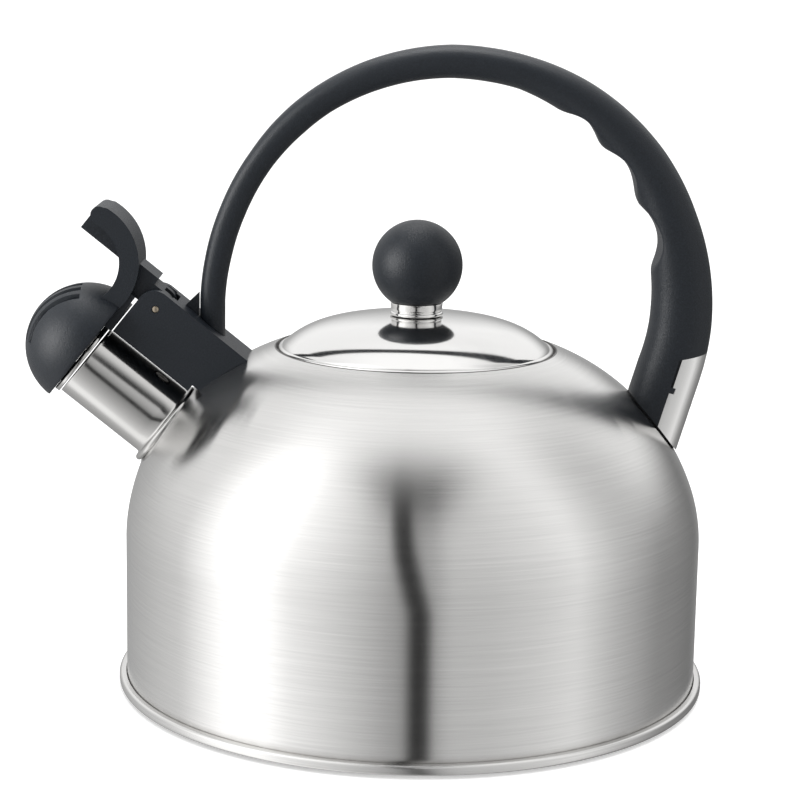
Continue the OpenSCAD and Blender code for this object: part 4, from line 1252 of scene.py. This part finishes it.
class KETTLE_OT_stage(Operator):
    """Makes the pale floor, the soft studio light and the camera"""

    bl_idname = "kettle.make_stage"
    bl_label = "Stage"

    def execute(self, context):
        s = context.scene.kettle_stage
        floor_mat, t, bsdf, at = shader("pale_floor")
        tint = context.scene.kettle_finish.floor
        mild = t.blend(t.noise(at, 6.0, 3.0), rgb(tint, 0.985), rgb(tint, 1.0))
        floor_mat.node_tree.links.new(mild, bsdf.inputs["Base Color"])
        bsdf.inputs["Roughness"].default_value = 0.9
        bsdf.inputs["Emission Color"].default_value = (1.0, 1.0, 1.0, 1.0)
        bsdf.inputs["Emission Strength"].default_value = 0.3
        wide = 30000
        floor = new_piece("floor", [(-wide, -wide, -0.05), (wide, -wide, -0.05), (wide, wide, -0.05),
                                    (-wide, wide, -0.05)],
                          [(0, 1, 2, 3)], floor_mat)
        floor.visible_glossy = False
        self.room(context, s)
        lamp = bpy.data.lights.new("top_light", "AREA")
        lamp.shape = "RECTANGLE"
        lamp.size, lamp.size_y = 1.2, 1.0
        lamp.energy = s.key
        light = bpy.data.objects.new("top_light", lamp)
        light.location = (0.0, 0.0, 1.3)
        light.visible_glossy = False
        context.scene.collection.objects.link(light)
        flag = new_piece("flag", [(x, y, FLAG_HEIGHT + (y - FLAG[2]) * FLAG_RISE) for x, y in
                                  ((FLAG[0], FLAG[2]), (FLAG[1], FLAG[2]), (FLAG[1], FLAG[3]),
                                   (FLAG[0], FLAG[3]))],
                         [(0, 1, 2, 3)], self.soft_cloth())
        flag.visible_camera = flag.visible_diffuse = flag.visible_shadow = False
        dark = bpy.data.collections.new("moulded_parts")
        for name in MOULDED:
            dark.objects.link(bpy.data.objects[name])
        for name, spot, wide, tall, power in (("left_soft", (-1.0, -0.45, 0.3), 0.45, 0.8, s.left),
                                              ("top_soft", (-0.05, 0.25, 1.2), 0.7, 0.6, s.top)):
            soft = bpy.data.lights.new(name, "AREA")
            soft.shape = "RECTANGLE"
            soft.size, soft.size_y = wide, tall
            soft.energy = power
            box = bpy.data.objects.new(name, soft)
            aim = Vector((0.0, 0.0, 0.12)) - Vector(spot)
            box.matrix_world = Matrix.Translation(spot) @ aim.to_track_quat("-Z", "Y").to_matrix().to_4x4()
            box.light_linking.receiver_collection = dark
            context.scene.collection.objects.link(box)
        lens = bpy.data.cameras.new("camera")
        lens.lens, lens.sensor_width = s.lens, 36.0
        lens.clip_start, lens.clip_end = 0.01, 50.0
        camera = bpy.data.objects.new("camera", lens)
        ahead = Vector((math.sin(s.pan) * math.cos(s.pitch), math.cos(s.pan) * math.cos(s.pitch),
                        -math.sin(s.pitch)))
        right = Vector((math.cos(s.pan), -math.sin(s.pan), 0.0))
        up = right.cross(ahead)
        c, n = math.cos(s.roll), math.sin(s.roll)
        x, y = c * right + n * up, c * up - n * right
        camera.matrix_world = Matrix(((x.x, y.x, -ahead.x, 0.0), (x.y, y.y, -ahead.y, -s.distance),
                                      (x.z, y.z, -ahead.z, s.height), (0, 0, 0, 1)))
        context.scene.collection.objects.link(camera)
        context.scene.camera = camera
        context.scene.view_settings.view_transform = "Standard"
        return {"FINISHED"}

    def soft_cloth(self):
        """Black cloth that thins out towards its sides and its far end, and widens away from the camera."""
        mat, t, bsdf, at = shader("black_cloth")
        bsdf.inputs["Base Color"].default_value = (0.004, 0.004, 0.005, 1.0)
        bsdf.inputs["Roughness"].default_value = 1.0
        x, y, _ = t.node("ShaderNodeSeparateXYZ", {0: at}).outputs
        low, high = FLAG[2] * MM, FLAG[3] * MM
        way = t.node("ShaderNodeMapRange", {"Value": y, "From Min": low, "From Max": high}).outputs[0]
        half = t.math("ADD", FLAG_HALF[0] * MM, t.math("MULTIPLY", way, (FLAG_HALF[1] - FLAG_HALF[0]) * MM))
        side = t.math("DIVIDE", t.math("ABSOLUTE", t.math("SUBTRACT", x, FLAG_MIDDLE * MM)), half)

        def fade(value, start, stop):
            return t.node("ShaderNodeMapRange",
                          {"Value": value, "From Min": start, "From Max": stop, "To Min": 1.0,
                                                 "To Max": 0.0}, interpolation_type="SMOOTHSTEP").outputs[0]

        cover = t.math("MULTIPLY", fade(side, 0.2, 1.0), fade(way, 0.3, 1.1), clamp=True)
        clear = t.node("ShaderNodeBsdfTransparent").outputs[0]
        mixed = t.node("ShaderNodeMixShader", {0: cover, 1: clear, 2: bsdf.outputs[0]}).outputs[0]
        ends = [n for n in mat.node_tree.nodes if n.bl_idname == "ShaderNodeOutputMaterial"]
        mat.node_tree.links.new(mixed, ends[0].inputs[0])
        return mat

    def room(self, context, s):
        """A room of soft boxes round the kettle, with the gap between the two in front and a dark patch over it."""
        world = bpy.data.worlds.new("studio")
        world.use_nodes = True
        context.scene.world = world
        t = Tree(world.node_tree)
        way = t.node("ShaderNodeTexCoord").outputs["Generated"]
        x, y, z = t.node("ShaderNodeSeparateXYZ", {0: way}).outputs
        turn = t.math("ARCTAN2", x, t.math("MULTIPLY", y, -1.0))
        round_at = t.math("ADD", t.math("DIVIDE", turn, 2 * math.pi), 0.5)

        def around(rows, value):
            return t.ramp(value, [(0.5 + a / 360.0, v) for a, v in rows])

        def rising(value, low, high):
            return t.node("ShaderNodeMapRange", {"Value": value, "From Min": math.radians(low),
                                                 "From Max": math.radians(high), "To Min": 0.0, "To Max": 1.0},
                          interpolation_type="SMOOTHSTEP").outputs[0]

        rise = t.math("ARCSINE", z)
        leaning = t.math("ADD", round_at, t.math("MULTIPLY", t.math("ADD", rise, math.radians(15)),
                                                 GAP_LEAN / (2 * math.pi)))
        sides = t.math("MULTIPLY", around(FRONT_LIGHT, round_at), t.math("ADD", 1.0, t.math("MULTIPLY",
                       rising(rise, -15, 30), 0.22)))
        front = t.math("MULTIPLY", sides, around(GAP_LIGHT, leaning))
        back = t.math("MULTIPLY", rising(t.math("ABSOLUTE", turn), 85, 130), rising(rise, 2, 22))
        wall = t.blend(back, front, (1.12, 1.12, 1.12, 1.0))
        sky = t.blend(rising(rise, 42, 75), wall, (1.28, 1.28, 1.28, 1.0))
        seen = t.node("ShaderNodeLightPath")
        plain = t.math("MAXIMUM", seen.outputs["Is Camera Ray"], seen.outputs["Is Diffuse Ray"])
        mixed = t.blend(plain, sky, (1.0, 1.0, 1.0, 1.0))
        out = t.node("ShaderNodeBackground", {"Color": mixed, "Strength": s.sky})
        for node in list(world.node_tree.nodes):
            if node.bl_idname == "ShaderNodeBackground" and node != out:
                world.node_tree.nodes.remove(node)
        ends = [n for n in world.node_tree.nodes if n.bl_idname == "ShaderNodeOutputWorld"]
        world.node_tree.links.new(out.outputs[0], ends[0].inputs[0])


# the dark cloth over the front: the height of its front edge, and its rise for each millimetre back
FLAG_HEIGHT = 205
FLAG_RISE = 0.2
# its sides, front and back, its half width in front and behind, and its middle
FLAG = (-150, 158, -220, -95)
FLAG_HALF = (62, 150)
FLAG_MIDDLE = 4
MOULDED = ("bracket", "grip", "cap", "cap_neck", "lever", "knob", "pad")
# brightness of the room by direction: degrees to the right of the camera's side, level
FRONT_LIGHT = [(-180, 0.42), (-160, 0.42), (-133, 0.6), (-102, 0.85), (-78, 1.6), (-58, 1.6), (-48, 1.2),
               (-25, 0.8), (-9, 0.52),
               (2, 0.42), (9.5, 0.5), (16, 0.66), (32, 0.7), (50, 0.82), (68, 1.0),
               (88, 0.65), (113, 0.34), (150, 0.2), (180, 0.42)]
# the dark gap between the two soft boxes in front, and how far it leans over as it rises
GAP_LIGHT = [(-180, 1.0), (-2.6, 1.0), (-0.8, 0.0), (6.6, 0.0), (8.4, 1.0), (180, 1.0)]
GAP_LEAN = 0.15


class KETTLE_PT_panel(Panel):
    """Lists the kettle's sizes, colours and makers"""

    bl_idname = "KETTLE_PT_panel"
    bl_label = "Whistling kettle"
    bl_space_type = "VIEW_3D"
    bl_region_type = "UI"
    bl_category = "Kettle"

    def draw(self, context):
        for maker in MAKERS:
            self.layout.operator(maker.bl_idname)
        for name, group in SETTINGS.items():
            box = self.layout.box()
            box.label(text=group.__doc__)
            for key in group.__annotations__:
                box.prop(getattr(context.scene, name), key)


SETTINGS = {"kettle_body": KettleBodySettings, "kettle_lid": KettleLidSettings,
            "kettle_spout": KettleSpoutSettings,
            "kettle_handle": KettleHandleSettings, "kettle_finish": KettleFinishSettings,
            "kettle_stage": KettleStageSettings}
MAKERS = (KETTLE_OT_body, KETTLE_OT_base, KETTLE_OT_spout, KETTLE_OT_bracket, KETTLE_OT_handle,
          KETTLE_OT_whistle, KETTLE_OT_lever, KETTLE_OT_spring, KETTLE_OT_lid, KETTLE_OT_knob,
          KETTLE_OT_screws,
          KETTLE_OT_stage)


def register():
    for group in SETTINGS.values():
        bpy.utils.register_class(group)
    for maker in MAKERS + (KETTLE_PT_panel,):
        bpy.utils.register_class(maker)
    for name, group in SETTINGS.items():
        setattr(bpy.types.Scene, name, PointerProperty(type=group))


def unregister():
    for name in SETTINGS:
        delattr(bpy.types.Scene, name)
    for maker in MAKERS + (KETTLE_PT_panel,):
        bpy.utils.unregister_class(maker)
    for group in SETTINGS.values():
        bpy.utils.unregister_class(group)


def main():
    register()
    for maker in MAKERS:
        group, name = maker.bl_idname.split(".")
        getattr(getattr(bpy.ops, group), name)()


if __name__ == "__main__":
    main()
